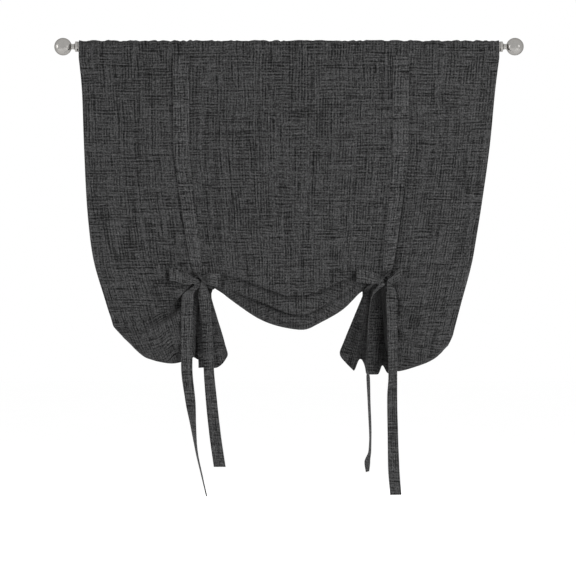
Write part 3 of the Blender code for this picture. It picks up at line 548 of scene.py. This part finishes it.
def beside_strap(points, side):
    """Depth of the crease that each front strap pulls into the panel along its inner edge."""
    level = np.clip(level_at(points[:, :, 2]), 0, 1)
    edge = side.strap_line(level) - smooth_between(EDGE_LEVELS, STRAP_EDGES, level)
    inside = edge - STRAP_CREASE_GAP - points[:, :, 0] * side.sign
    trough = np.exp(-((inside / STRAP_CREASE_WIDTH) ** 2))
    return smooth_between(STRAP_CREASE_LEVELS, side.strap_crease, level) * trough


def creased(points, u, v, bottom):
    """Adds the soft waves, pull lines, gathers and small wrinkles that hanging cloth has."""
    normal = grid_normals(points)
    hang = smooth_between((0.06, 0.25, 0.7), (0.0, 0.5, 1.0), v)
    pocket = smooth_between((0.0, 0.03, 0.14), (1.0, 0.9, 0.0), np.maximum(v - 0.05, 0))
    height = np.zeros_like(v)
    for share, (most, *cells) in ((hang, WAVES), (hang, WRINKLES), (1.0, CRUMPLES), (pocket, RUFFLES)):
        height += share * most * soft_noise(u, v, *cells)
    seam = np.abs(points[:, :, 2] + POCKET_DEPTH) / SEAM_WIDTH
    height -= np.where(v > POCKET_DEPTH, SEAM_GROOVE * np.exp(-(seam**2)), 0.0)
    for inside in ((PANEL_WIDTH / 2 - np.abs(u[0])) / SIDE_HEM, (v[-1] - v) / BOTTOM_HEM):
        height += HEM_RISE * smooth_between((0.8, 1.1), (1.0, 0.0), inside)
    front = points[:bottom]
    for side in (LEFT, RIGHT):
        height[:bottom] += gathers(front, side) - beside_strap(front, side)
    return points + normal * height[:, :, None]


def changed(thing, **settings):
    """The thing, with these settings made."""
    for key, value in settings.items():
        setattr(thing, key, value)
    return thing


def linked(name, data):
    """A new object in the scene."""
    obj = bpy.data.objects.new(name, data)
    bpy.context.scene.collection.objects.link(obj)
    return obj


def linked_mesh(name, points, edges, faces):
    mesh = bpy.data.meshes.new(name)
    mesh.from_pydata(points, edges, faces)
    return linked(name, mesh)


def applied(obj):
    """The object with its modifiers made into mesh."""
    graph = bpy.context.evaluated_depsgraph_get()
    mesh = bpy.data.meshes.new_from_object(obj.evaluated_get(graph))
    obj.modifiers.clear()
    old, obj.data = obj.data, mesh
    bpy.data.meshes.remove(old)
    mesh.name = obj.name
    return obj


def cloth_object(name, points, u, v, thickness):
    """A cloth grid as a mesh with its flat places as UVs in metres and its real thickness."""
    rows, columns = points.shape[:2]
    index = np.arange(rows * columns).reshape(rows, columns)
    corners = (index[:-1, :-1], index[1:, :-1], index[1:, 1:], index[:-1, 1:])
    faces = np.stack(corners, axis=-1).reshape(-1, 4)
    obj = linked_mesh(name, points.reshape(-1, 3), [], faces)
    flat = np.stack([u, v], axis=-1).reshape(-1, 2)
    layer = obj.data.uv_layers.new(name="flat_cloth")
    layer.uv.foreach_set("vector", flat[faces.ravel()].astype(np.float32).ravel())
    obj.data.shade_smooth()
    changed(obj.modifiers.new("thickness", "SOLIDIFY"), thickness=thickness, offset=0.0)
    return applied(obj)


def stitches_along(path, outward, lift):
    """The two ends and the outward direction of each stitch along a line of points."""
    lengths = distances(path)
    starts = np.arange(STITCH_PITCH, lengths[-1] - STITCH_PITCH, STITCH_PITCH)
    path = path + outward * lift
    lines = ((starts, path), (starts + STITCH_LENGTH, path), (starts, outward))
    found = [[np.interp(at, lengths, line[:, k]) for k in range(3)] for at, line in lines]
    return np.moveaxis(np.array(found), 2, 0)


def between_columns(grid, column):
    """The line down the cloth at a place between two columns."""
    left = int(column)
    return mixed(grid[:, left], grid[:, left + 1], column - left)


def panel_stitches(points, v, marks):
    """Every stitch of the pocket, the side hems and the bottom hem, on both faces of the cloth."""
    outward = grid_normals(points)
    lift = CLOTH_THICKNESS / 2 + STITCH_RADIUS * 0.5
    made = [stitches_along(points[row], outward[row], lift) for row in (1, marks[SEAM_ROW])]
    left, right = (SIDE_HEM / (PANEL_WIDTH / 2 - side.strap) * SIDE_COLUMNS for side in (LEFT, RIGHT))
    below = marks[SEAM_ROW] + 1
    hem_row = int(np.argmax(v[:, 0] > v[-1, 0] - BOTTOM_HEM))
    for face in (1.0, -1.0):
        for column in (left, points.shape[1] - 1 - right):
            path, facing = between_columns(points, column), between_columns(outward, column) * face
            made.append(stitches_along(path[below:], facing[below:], lift))
        made.append(stitches_along(points[hem_row], outward[hem_row] * face, lift))
    return np.concatenate(made)


def stitch_object(name, stitches):
    """All stitches as one mesh: each a short thread with four sides and pointed ends."""
    start, end, outward = stitches[:, 0], stitches[:, 1], stitches[:, 2]
    beside = np.cross(end - start, outward)
    beside /= np.maximum(np.linalg.norm(beside, axis=1, keepdims=True), 1e-12)
    points = [start, end]
    for share in (0.2, 0.8):
        middle = mixed(start, end, share)
        for across, out in ((1, 0), (0, 1), (-1, 0), (0, -1)):
            points.append(middle + (beside * across + outward * out) * STITCH_RADIUS)
    corners = len(points)
    points = np.stack(points, axis=1).reshape(-1, 3)
    thread = []
    for a, b in ((2, 3), (3, 4), (4, 5), (5, 2)):
        thread += [(0, a, b), (a, a + 4, b + 4, b), (1, b + 4, a + 4)]
    starts = range(0, len(points), corners)
    faces = [[first + corner for corner in face] for first in starts for face in thread]
    obj = linked_mesh(name, points, [], faces)
    obj.data.shade_smooth()
    return obj


def along(points, steps):
    """A smooth curve through the points, with the given number of steps between each two."""
    points = np.asarray(points, float)
    padded = np.concatenate([2 * points[:1] - points[1:2], points, 2 * points[-1:] - points[-2:-1]])
    made = []
    for a, b, c, d in zip(padded, padded[1:], padded[2:], padded[3:]):
        made += [eased(b, c, (c - a) / 2, (d - b) / 2, k / steps) for k in range(steps)]
    return np.array(made + [points[-1]])


class Strap:
    """Stations of a strap, its middle and the vector to its edge, on the panel as a tree of faces."""

    def __init__(self, panel_tree, side):
        self.panel_tree = panel_tree
        self.side = side
        self.stations = []

    def add(self, x, y, z, across):
        self.stations.append((x, y, z, *across))

    def outermost(self, x, z, half_width, facing):
        """Depth of the outermost cloth in front, -1, or behind, +1, over a patch as wide as the strap."""
        depths = []
        for across in (-1.0, -0.5, 0.0, 0.5, 1.0):
            for up in (-PATCH_HEIGHT, 0.0, PATCH_HEIGHT):
                eye = Vector((x + across * half_width, facing, z + up))
                place = self.panel_tree.ray_cast(eye, Vector((0, -facing, 0)))[0]
                if place is not None:
                    depths.append(place.y * facing)
        return max(depths) * facing if depths else None

    def add_knot(self, stations):
        """Goes on through places from the tie, lifts off the cloth, directions and half widths."""
        knot = []
        for outboard, up, lift, across, half in stations:
            x, z = self.side.sign * (self.side.tie + outboard), -TIE_DROP + up
            direction = np.array(across, float)
            direction[0] *= self.side.sign
            y = self.outermost(x, z, KNOT_WIDTH, -1) - lift
            knot.append((x, y, z, *(direction * half / np.linalg.norm(direction))))
        self.stations += [tuple(station) for station in along(knot, KNOT_STEPS)]


def band_half_width(share):
    """A band keeps its width and then gathers towards the knot."""
    drawn_in, gathered = mixed(STRAP_TOP_WIDTH, TAIL_WIDTH, 0.6), mixed(TAIL_WIDTH, KNOT_WIDTH, 0.1)
    widths = (STRAP_TOP_WIDTH, STRAP_TOP_WIDTH * 0.95, drawn_in, gathered, BAND_END_WIDTH)
    return smooth_between((0.0, 0.45, 0.75, 0.96, 1.0), widths, share) / 2


def bow_loop(out, turn, loop, first_rise, lift, last_lift):
    """Stations of a loop of the bow, turn from the tie, out to its tip and back over itself.

    out is 1 for the outboard loop and -1 for the inboard one. loop is its length and rise.
    """
    length, rise = loop
    near, far = mixed(turn, length, 0.35), mixed(turn, length, 0.75)
    swelling = mixed(NARROW, WIDE, 0.7)
    across = (0, 0, -out)
    return [
        (out * near, rise * first_rise, lift, across, swelling),
        (out * far, rise, lift + 0.001, across, WIDE),
        (out * length, rise, lift + 0.006, across, WIDE),
        (out * far, rise * 0.8, lift + 0.013, across, WIDE),
        (out * near, 0.0, last_lift, across, swelling),
    ]


def tail(strap, lift, kept, shape):
    """Adds the hanging end and gives back all stations. It lies on the cloth and hangs straight beyond it.

    It keeps its layer in the knot over the distance kept, and then settles on the cloth.
    """
    side = strap.side
    x, y, z = strap.stations[-1][:3]
    first = -z - TIE_DROP
    shape = ((first, x * side.sign - side.tie, 1.0, 0.0), *shape)
    for drop in np.linspace(first, shape[-1][0], TAIL_STEPS)[1:]:
        outboard, across, towards = read(shape, drop)
        x, z = side.sign * (side.tie + outboard), -TIE_DROP - drop
        wide = mixed(KNOT_WIDTH, TAIL_WIDTH, min(1.0, (drop - first) / TAIL_WIDENS)) / 2
        edge = wide * np.array([side.sign * across, towards, 0])
        lying = strap.outermost(x, z, abs(edge[0]), -1)
        settled = mixed(lift, STRAP_LIFT, np.clip((drop - first - kept) / TAIL_SETTLES, 0, 1))
        if lying is not None:
            y = min(y, lying - settled - abs(edge[1]))
        strap.add(x, y, z, edge)
    return np.array(strap.stations)


def front_strap(panel_tree, side):
    """Band in front of the panel, outboard loop of the bow and outboard tail, all one strap."""
    strap = Strap(panel_tree, side)
    for share in np.linspace(0, 1, BAND_STEPS):
        z = mixed(-POCKET_DEPTH + SEAM_LAP, -TIE_DROP + KNOT_WIDTH * 1.4, share)
        half = band_half_width(share)
        x = side.sign * side.strap_line(level_at(z))
        y = strap.outermost(x, z, half, -1) - STRAP_LIFT + CLOTH_THICKNESS / 2
        strap.add(x, y, z, (side.sign * half, 0, 0))
    turn = NARROW + 0.004
    low = -NARROW * 0.6
    one, _, three, _, _ = LAYERS
    strap.add_knot([
        (0.0, turn, one, (1, 0, 0), mixed(NARROW, BAND_END_WIDTH / 2, 0.6)),
        (turn * 0.29, turn * 0.29, one, (1, 0, -1), NARROW),
        (turn, 0.0, one, (0, 0, -1), NARROW),
        *bow_loop(1, turn, side.outer_loop, 0.5, one, three + 0.003),
        (turn, low, three, (0, 0, -1), NARROW),
        (mixed(side.leaves, turn, 0.29), low - turn * 0.29, three, (1, 0, -1), NARROW),
        (side.leaves, low - turn, three, (1, 0, 0), NARROW),
    ])
    return tail(strap, three, 0.0, side.outer_tail)


def back_strap(panel_tree, side):
    """Band behind the panel, turn under the swag, wrap over the knot, inboard loop and inboard tail."""
    strap = Strap(panel_tree, side)
    inboard = side.under - side.tie
    top = -POCKET_DEPTH - CLOTH_THICKNESS
    end = -TIE_DROP + 0.004
    y = -FRONT + STRAP_LIFT
    for share in np.linspace(0, 1, BAND_STEPS):
        z = mixed(top, end, share)
        half = band_half_width(share)
        aside = inboard * max(0.0, (share - 0.75) / 0.25) ** 1.5
        x = side.sign * (side.strap_line(min(level_at(z), 1.0)) + aside)
        lying = strap.outermost(x, z, half, 1) + STRAP_LIFT - CLOTH_THICKNESS / 2
        y = max(y, lying) if share > 0 else y
        strap.add(x, y, z, (side.sign * half, 0, 0))

    # Down behind the gathers, under the swag's edge and up in front of it
    x = side.sign * side.under
    inner, outer = swag_edge(x - side.sign * NARROW), swag_edge(x + side.sign * NARROW)
    edge = (inner + outer) / 2
    under_z = edge - STRAP_LIFT - UNDER_GAP
    back_y = max(strap.outermost(x, z, NARROW, 1) for z in np.linspace(end, edge + NARROW, 5))
    back_y = max(back_y + STRAP_LIFT, y)
    front_y = strap.outermost(x, edge + 0.010, NARROW, -1)
    lowest = under_z - 0.002
    turns = (
        (back_y, under_z + 0.001),
        (back_y * 0.6, lowest),
        (0.0, lowest),
        (front_y, lowest),
        (front_y - STRAP_LIFT - 0.003, under_z + 0.003),
    )
    strap.add(x, back_y, end - 0.009, (side.sign * NARROW, 0, 0))
    for y, z in turns:
        strap.add(x, y, z, (side.sign * NARROW, 0, (outer - inner) / 2))

    turn = NARROW + 0.002
    low = -NARROW * 0.6
    _, two, _, four, five = LAYERS
    strap.add_knot([
        (inboard * 0.86, under_z + TIE_DROP + 0.012, five, (1, 0, 0.6), NARROW),
        (inboard * 0.4, -0.006, five, (1, 0, 1), NARROW),
        (0.0, 0.009, five, (1, 0, 1), NARROW),
        (0.005, 0.0145, (two + five) / 2, (1, 0, 1), NARROW),
        (-0.001, 0.009, two + 0.0008, (1, 0, 1), NARROW),
        (-turn, 0.001, two, (0.4, 0, 1), NARROW),
        *bow_loop(-1, turn, side.inner_loop, 0.4, two, five + 0.004),
        (-turn * 2.2, low, four, (0, 0, 1), NARROW),
        (-turn * 1.45, low - turn * 0.29, four, (1, 0, 1), NARROW),
        (-turn * 1.15, low - turn, four, (1, 0, 0), NARROW),
    ])
    return tail(strap, four, TAIL_WIDTH, side.inner_tail)


def ribbon_object(name, stations, seed):
    """A strap as a sewn ribbon: slightly cupped, with soft waves and its real thickness."""
    across = np.linspace(-1, 1, 9)
    middle, edge = stations[:, :3], stations[:, 3:]
    points = middle[:, None, :] + edge[:, None, :] * across[None, :, None]
    down = distances(middle)
    v = np.broadcast_to(down[:, None], points.shape[:2])
    u = np.broadcast_to(across[None, :] * STRAP_CUT_WIDTH / 2, points.shape[:2])
    normal = grid_normals(points)
    most, *cells = STRAP_WAVES
    height = most * soft_noise(u, v, *cells, seed) * (1 - 0.5 * across[None, :] ** 2)
    points = points + normal * height[:, :, None]
    return cloth_object(name, points, u, v + seed, STRAP_THICKNESS), down[-1]


def turned_finial(name, sign):
    """The finial, turned about the pole's axis. sign is -1 at the left end and +1 at the right one."""
    profile = finial_profile()
    edges = [(i, i + 1) for i in range(len(profile) - 1)]
    obj = linked_mesh(name, [(radius, 0, height) for radius, height in profile], edges, [])
    changed(
        obj.modifiers.new("turned", "SCREW"),
        steps=TURNED_STEPS,
        render_steps=TURNED_STEPS,
        use_merge_vertices=True,
        merge_threshold=0.00001,
        use_smooth_shade=True,
    )
    upright_to_pole = Matrix.Rotation(sign * math.pi / 2, 4, "Y")
    applied(obj).data.transform(Matrix.Translation((sign * FINIAL_START, 0, 0)) @ upright_to_pole)
    return obj


class Nodes:
    """Short ways to add shader nodes to a material or a world."""

    def __init__(self, owner, shader="Principled BSDF"):
        owner.use_nodes = True
        self.owner = owner
        self.tree = owner.node_tree
        self.shader = self.tree.nodes[shader]

    def add(self, kind, inputs=(), **settings):
        node = changed(self.tree.nodes.new(kind), **settings)
        self.fill(node, inputs)
        return node

    def fill(self, node, inputs):
        """Sets a node's inputs, or links them where the value comes from another node."""
        for key, value in dict(inputs).items():
            if isinstance(value, bpy.types.NodeSocket):
                self.tree.links.new(value, node.inputs[key])
            else:
                node.inputs[key].default_value = value

    def math(self, operation, a, b=0.0, c=0.0):
        return self.add("ShaderNodeMath", {0: a, 1: b, 2: c}, operation=operation).outputs[0]

    def moved(self, operation, vector, inputs):
        return self.add("ShaderNodeVectorMath", {0: vector, **inputs}, operation=operation).outputs[0]

    def ranged(self, value, low, high, to_low, to_high):
        inputs = {0: value, 1: low, 2: high, 3: to_low, 4: to_high}
        return self.add("ShaderNodeMapRange", inputs).outputs[0]

    def noise(self, vector, scale, detail=2.0, rough=0.5, dimensions="3D"):
        inputs = {"Vector": vector, "Scale": scale, "Detail": detail, "Roughness": rough}
        return self.add("ShaderNodeTexNoise", inputs, noise_dimensions=dimensions).outputs[0]

    def place(self):
        return self.add("ShaderNodeTexCoord").outputs["Object"]

    def grey(self, tone):
        return self.add("ShaderNodeCombineColor", {0: tone, 1: tone, 2: tone}).outputs[0]

    def toned(self, colour, tone):
        """A colour times a tone that varies over the surface."""
        inputs = {0: 1.0, 6: (*colour, 1.0), 7: tone}
        return self.add("ShaderNodeMix", inputs, data_type="RGBA", blend_type="MULTIPLY").outputs[2]

    def bumps(self, height, strength, distance):
        inputs = {"Height": height, "Strength": strength, "Distance": distance}
        return self.add("ShaderNodeBump", inputs).outputs[0]


# Colours
PANEL_TONE = 0.0482
STRAP_TONE = 0.0592
NICKEL = (0.36, 0.35, 0.335)

# Weave. Threads: pitch, length of an even stretch, detail of its tone, seed
WEFT = (0.0020, 0.10, 3.0, 3.7)
WARP = (0.0021, 0.16, 3.0, 91.3)
FINE_WEFT = (0.0011, 0.008, 1.0, 17.9)
FINE_WARP = (0.0011, 0.008, 1.0, 43.1)

# The noise's own spread, the strength of the long and the fine threads, the long ones' limit, the ribs
NOISE_SPREAD = 0.12
LONG_STRENGTH = 0.215
LONG_LIGHT_LIMIT = 0.15
FINE_STRENGTH = 0.15
RIB_PITCH = 0.0076
RIB_STRENGTH = 0.8
RIB_DRIFT = 9.0

# How far threads wander
WOBBLE_SCALE = 7.0
WOBBLE = 0.005


def streaks(nodes, along_cloth, across_cloth, pitch, length, detail, seed):
    """One set of threads, spread about 0 by about 1: each keeps its own tone, which changes along it."""
    number = nodes.math("ADD", nodes.math("FLOOR", nodes.math("DIVIDE", across_cloth, pitch)), seed)
    own = nodes.add("ShaderNodeTexWhiteNoise", {"W": number}, noise_dimensions="1D").outputs[0]
    place = nodes.math("MULTIPLY_ADD", own, 57.0, nodes.math("DIVIDE", along_cloth, length))
    vector = nodes.add("ShaderNodeCombineXYZ", {0: place, 1: nodes.math("MULTIPLY", own, 177.0)})
    noise = nodes.noise(vector.outputs[0], 1.0, detail, 0.6, "2D")
    return nodes.math("MULTIPLY_ADD", noise, 1 / NOISE_SPREAD, -0.5 / NOISE_SPREAD)


def ribs(nodes, place, across_cloth):
    """Faint regular ribs across one direction of the weave, which drift a little over the cloth."""
    drift = nodes.math("MULTIPLY", nodes.noise(place, 12.0, 1.0, 0.5, "2D"), RIB_DRIFT)
    turns = nodes.math("MULTIPLY_ADD", across_cloth, 2 * math.pi / RIB_PITCH, drift)
    return nodes.math("MULTIPLY", nodes.math("SINE", turns), RIB_STRENGTH)


def cloth_material(name, tone):
    """Charcoal slub weave: long uneven threads both ways over short fine ones."""
    nodes = Nodes(bpy.data.materials.new(name))
    place = nodes.add("ShaderNodeUVMap", uv_map="flat_cloth").outputs[0]
    wobble = nodes.add("ShaderNodeTexNoise", {"Vector": place, "Scale": WOBBLE_SCALE, "Detail": 1.0})
    middle = nodes.moved("SUBTRACT", wobble.outputs[1], {1: (0.5, 0.5, 0.5)})
    shift = nodes.moved("SCALE", middle, {"Scale": WOBBLE})
    split = nodes.add("ShaderNodeSeparateXYZ", {0: nodes.moved("ADD", place, {1: shift})})
    u, v = split.outputs[0], split.outputs[1]
    weft = nodes.math("ADD", streaks(nodes, u, v, *WEFT), ribs(nodes, place, v))
    warp = nodes.math("ADD", streaks(nodes, v, u, *WARP), ribs(nodes, place, u))
    fine = nodes.math("ADD", streaks(nodes, u, v, *FINE_WEFT), streaks(nodes, v, u, *FINE_WARP))
    patches = nodes.noise(place, 22.0, 1.0, 0.5, "2D")
    less, more = LONG_STRENGTH * 0.6, LONG_STRENGTH * 1.4
    weft = nodes.math("MULTIPLY", weft, nodes.ranged(patches, 0.35, 0.65, less, more))
    warp = nodes.math("MULTIPLY", warp, nodes.ranged(patches, 0.35, 0.65, more, less))
    long_ones = nodes.math("MINIMUM", nodes.math("ADD", weft, warp), LONG_LIGHT_LIMIT)
    fine = nodes.math("MULTIPLY", fine, FINE_STRENGTH)
    uneven = nodes.math("ADD", nodes.math("ADD", long_ones, fine), 1.0)
    light = nodes.math("POWER", nodes.math("MAXIMUM", uneven, 0.15), 2.2)
    nodes.fill(nodes.shader, {
        "Base Color": nodes.toned((tone, tone, tone * 1.01), light),
        "Roughness": 0.92,
        "Specular IOR Level": 0.2,
        "Sheen Weight": 0.06,
        "Sheen Roughness": 0.5,
        "Normal": nodes.bumps(uneven, 0.5, 0.0008),
    })
    return nodes.owner


def thread_material():
    """Sewing thread, a little lighter than the cloth, with a twist along it."""
    nodes = Nodes(bpy.data.materials.new("sewing thread"))
    twist = nodes.noise(nodes.place(), 1400.0, detail=1.0)
    nodes.fill(nodes.shader, {
        "Base Color": nodes.grey(nodes.ranged(twist, 0.3, 0.7, 0.040, 0.060)),
        "Roughness": 0.7,
        "Normal": nodes.bumps(twist, 0.3, 0.0001),
    })
    return nodes.owner


def metal_material():
    """Brushed nickel: fine turned lines round the pole's axis and faint cloudy wear."""
    nodes = Nodes(bpy.data.materials.new("brushed nickel"))
    place = nodes.place()
    lined = nodes.add("ShaderNodeMapping", {0: place, 3: (2600.0, 60.0, 60.0)}).outputs[0]
    lines = nodes.noise(lined, 1.0, detail=3.0)
    clouds = nodes.noise(place, 90.0, detail=3.0)
    cloudy = nodes.ranged(clouds, 0.3, 0.7, 0.94, 1.04)
    tone = nodes.math("ADD", nodes.ranged(lines, 0.3, 0.7, -0.05, 0.05), cloudy)
    nodes.fill(nodes.shader, {
        "Base Color": nodes.toned(NICKEL, tone),
        "Metallic": 1.0,
        "Specular Tint": (0.45, 0.44, 0.43, 1.0),
        "Roughness": nodes.ranged(clouds, 0.3, 0.7, 0.19, 0.31),
        "Normal": nodes.bumps(lines, 0.25, 0.00008),
    })
    return nodes.owner


def given(obj, material):
    """Gives the object this one material."""
    obj.data.materials.clear()
    obj.data.materials.append(material)


# Finial: neck as a share of the ball's radius, its waist and flare, the collar, and the stud's bore
NECK_SHARE = 0.33
NECK_WAIST = 0.0007
NECK_FLARE = 0.0022
COLLAR_ROUND = 0.001
COLLAR_BEVEL = 0.0006
COLLAR_PROUD = 0.0004
COLLAR_LENGTH = 0.0085
BORE_RADIUS = 0.0033
BORE_DEPTH = 0.0123
TURNED_STEPS = 96


def steps_to(last, count):
    return [last * k / count for k in range(1, count + 1)]


def finial_profile():
    """Half section of the ball, neck and collar, from the ball's far pole to the pole's end."""
    neck = BALL_RADIUS * NECK_SHARE
    collar = ROD_RADIUS + COLLAR_PROUD
    length = FINIAL_END - FINIAL_START
    ball_height = length - BALL_RADIUS
    flare_start = COLLAR_LENGTH + NECK_FLARE
    flare = collar - COLLAR_ROUND - neck
    points = [(0.0, length)]
    for angle in steps_to(math.pi - math.asin(neck / BALL_RADIUS), 48):
        points.append((BALL_RADIUS * math.sin(angle), ball_height + BALL_RADIUS * math.cos(angle)))
    neck_start = points[-1][1]
    for share in steps_to(1, 6):
        radius = neck - NECK_WAIST * math.sin(math.pi * share)
        points.append((radius, mixed(neck_start, flare_start, share)))
    for angle in steps_to(math.pi / 2, 6):
        height = flare_start - (NECK_FLARE + COLLAR_ROUND) * math.sin(angle)
        points.append((neck + flare * (1 - math.cos(angle)), height))
    for angle in steps_to(math.pi / 2, 4):
        height = COLLAR_LENGTH - COLLAR_ROUND * (2 - math.cos(angle))
        points.append((collar - COLLAR_ROUND * (1 - math.sin(angle)), height))
    points += [(collar, COLLAR_BEVEL), (collar - COLLAR_BEVEL, 0.0)]
    points += [(BORE_RADIUS, 0.0), (BORE_RADIUS, BORE_DEPTH), (0.0, BORE_DEPTH)]
    return points


def build_cloth():
    points, u, v, marks = panel_grid()
    panel = cloth_object("slub_panel", points, u, v, CLOTH_THICKNESS)
    given(panel, cloth_material("slub cloth", PANEL_TONE))
    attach(panel, "root")
    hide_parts("curtain_panel")
    stitches = stitch_object("hem_stitches", panel_stitches(points, v, marks))
    given(stitches, thread_material())
    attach(stitches, "root")
    panel_tree = BVHTree.FromObject(panel, bpy.context.evaluated_depsgraph_get())
    strap_cloth = cloth_material("strap cloth", STRAP_TONE)
    straps = (
        ("tie_front_left", "strap_front_left", front_strap(panel_tree, LEFT)),
        ("tie_front_right", "strap_front_right", front_strap(panel_tree, RIGHT)),
        ("tie_back_left", "strap_back_left", back_strap(panel_tree, LEFT)),
        ("tie_back_right", "strap_back_right", back_strap(panel_tree, RIGHT)),
    )
    for seed, (name, node, stations) in enumerate(straps, start=FIRST_STRAP_SEED):
        strap, length = ribbon_object(name, stations, seed)
        given(strap, strap_cloth)
        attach(strap, "root")
        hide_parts(node)


def build_metal():
    nickel = metal_material()
    for word, sign in (("left", -1), ("right", 1)):
        finial = turned_finial(f"ball_finial_{word}", sign)
        given(finial, nickel)
        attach(finial, "root")
        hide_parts(f"finial_{word}")
        given(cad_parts[f"rod_plug_{word}"], nickel)
    given(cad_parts["curtain_rod"], nickel)


# Camera: the width that it shows at the pole, and its place
PICTURE_WIDTH = 1.463
CAMERA_DISTANCE = 6.0
CAMERA_X = -0.0025
CAMERA_Z = -0.613
AIM_Z = -0.5
FLOOR_DROP = 1.40
FLOOR_HALF = 14.0
FLOOR_GLOW = 0.80
WORLD_LIGHT = 0.46
TOP_LIGHT = 0.18

# Lamps: place, width and height, watts. Only the strips show in the metal, as its two highlights.
LAMPS = (
    ("key light", (2.2, -2.3, -0.1), (1.6, 1.6), 50.0),
    ("fill light", (-2.1, -1.7, -0.7), (2.0, 2.0), 24.5),
    ("back light", (0.8, 3.2, 0.3), (2.0, 2.0), 30.0),
    ("left strip", (-3.2, -0.5, 0.0), (0.7, 1.6), 12.0),
    ("right strip", (2.6, -1.7, 0.1), (0.4, 0.8), 4.0),
)


def build_studio():
    scene = bpy.context.scene
    scene.view_settings.view_transform = "Standard"
    eye = linked("camera", bpy.data.cameras.new("camera"))
    eye.data.sensor_width = 36.0
    eye.data.lens = eye.data.sensor_width * CAMERA_DISTANCE / PICTURE_WIDTH
    eye.location = (CAMERA_X, -CAMERA_DISTANCE, CAMERA_Z)
    eye.rotation_euler = (math.pi / 2, 0, 0)
    scene.camera = eye
    for name, place, (width, height), power in LAMPS:
        lamp = linked(name, bpy.data.lights.new(name, "AREA"))
        changed(lamp.data, shape="RECTANGLE", size=width, size_y=height, energy=power)
        aim = Vector((0, 0, AIM_Z)) - Vector(place)
        lamp.location = place
        lamp.rotation_euler = aim.to_track_quat("-Z", "Y").to_euler()
        lamp.visible_glossy = "strip" in name
    build_world(scene)
    build_floor()


def seen_directly(nodes):
    """1 for the camera's rays and for what shows in metal or glass, 0 for the light on the object."""
    path = nodes.add("ShaderNodeLightPath").outputs
    shown = nodes.math("MAXIMUM", path["Is Camera Ray"], path["Is Glossy Ray"])
    return nodes.math("MAXIMUM", shown, path["Is Transmission Ray"])


def build_world(scene):
    """Soft light from all round, less of it from above. Where the world itself shows, it is white."""
    scene.world = bpy.data.worlds.new("studio")
    nodes = Nodes(scene.world, "Background")
    towards = nodes.add("ShaderNodeTexCoord").outputs["Generated"]
    up = nodes.add("ShaderNodeSeparateXYZ", {0: towards}).outputs[2]
    soft = nodes.ranged(up, 0.0, 1.0, WORLD_LIGHT, TOP_LIGHT)
    strength = nodes.ranged(seen_directly(nodes), 0.0, 1.0, soft, 1.0)
    nodes.fill(nodes.shader, {"Color": (1, 1, 1, 1), "Strength": strength})


def build_floor():
    """A pale floor that shows white with the object's soft shadow on it."""
    half, z = FLOOR_HALF, -FLOOR_DROP
    corners = [(-half, -half, z), (half, -half, z), (half, half, z), (-half, half, z)]
    floor = linked_mesh("floor", corners, [], [(0, 1, 2, 3)])
    nodes = Nodes(bpy.data.materials.new("floor"))
    grain = nodes.noise(nodes.place(), 3.0)
    nodes.fill(nodes.shader, {
        "Base Color": nodes.grey(nodes.ranged(grain, 0.3, 0.7, 0.70, 0.72)),
        "Roughness": 0.9,
        "Specular IOR Level": 0.0,
        "Emission Color": (1, 1, 1, 1),
        "Emission Strength": nodes.ranged(seen_directly(nodes), 0.0, 1.0, 0.0, FLOOR_GLOW),
    })
    given(floor, nodes.owner)


build_studio()
build_cloth()
build_metal()
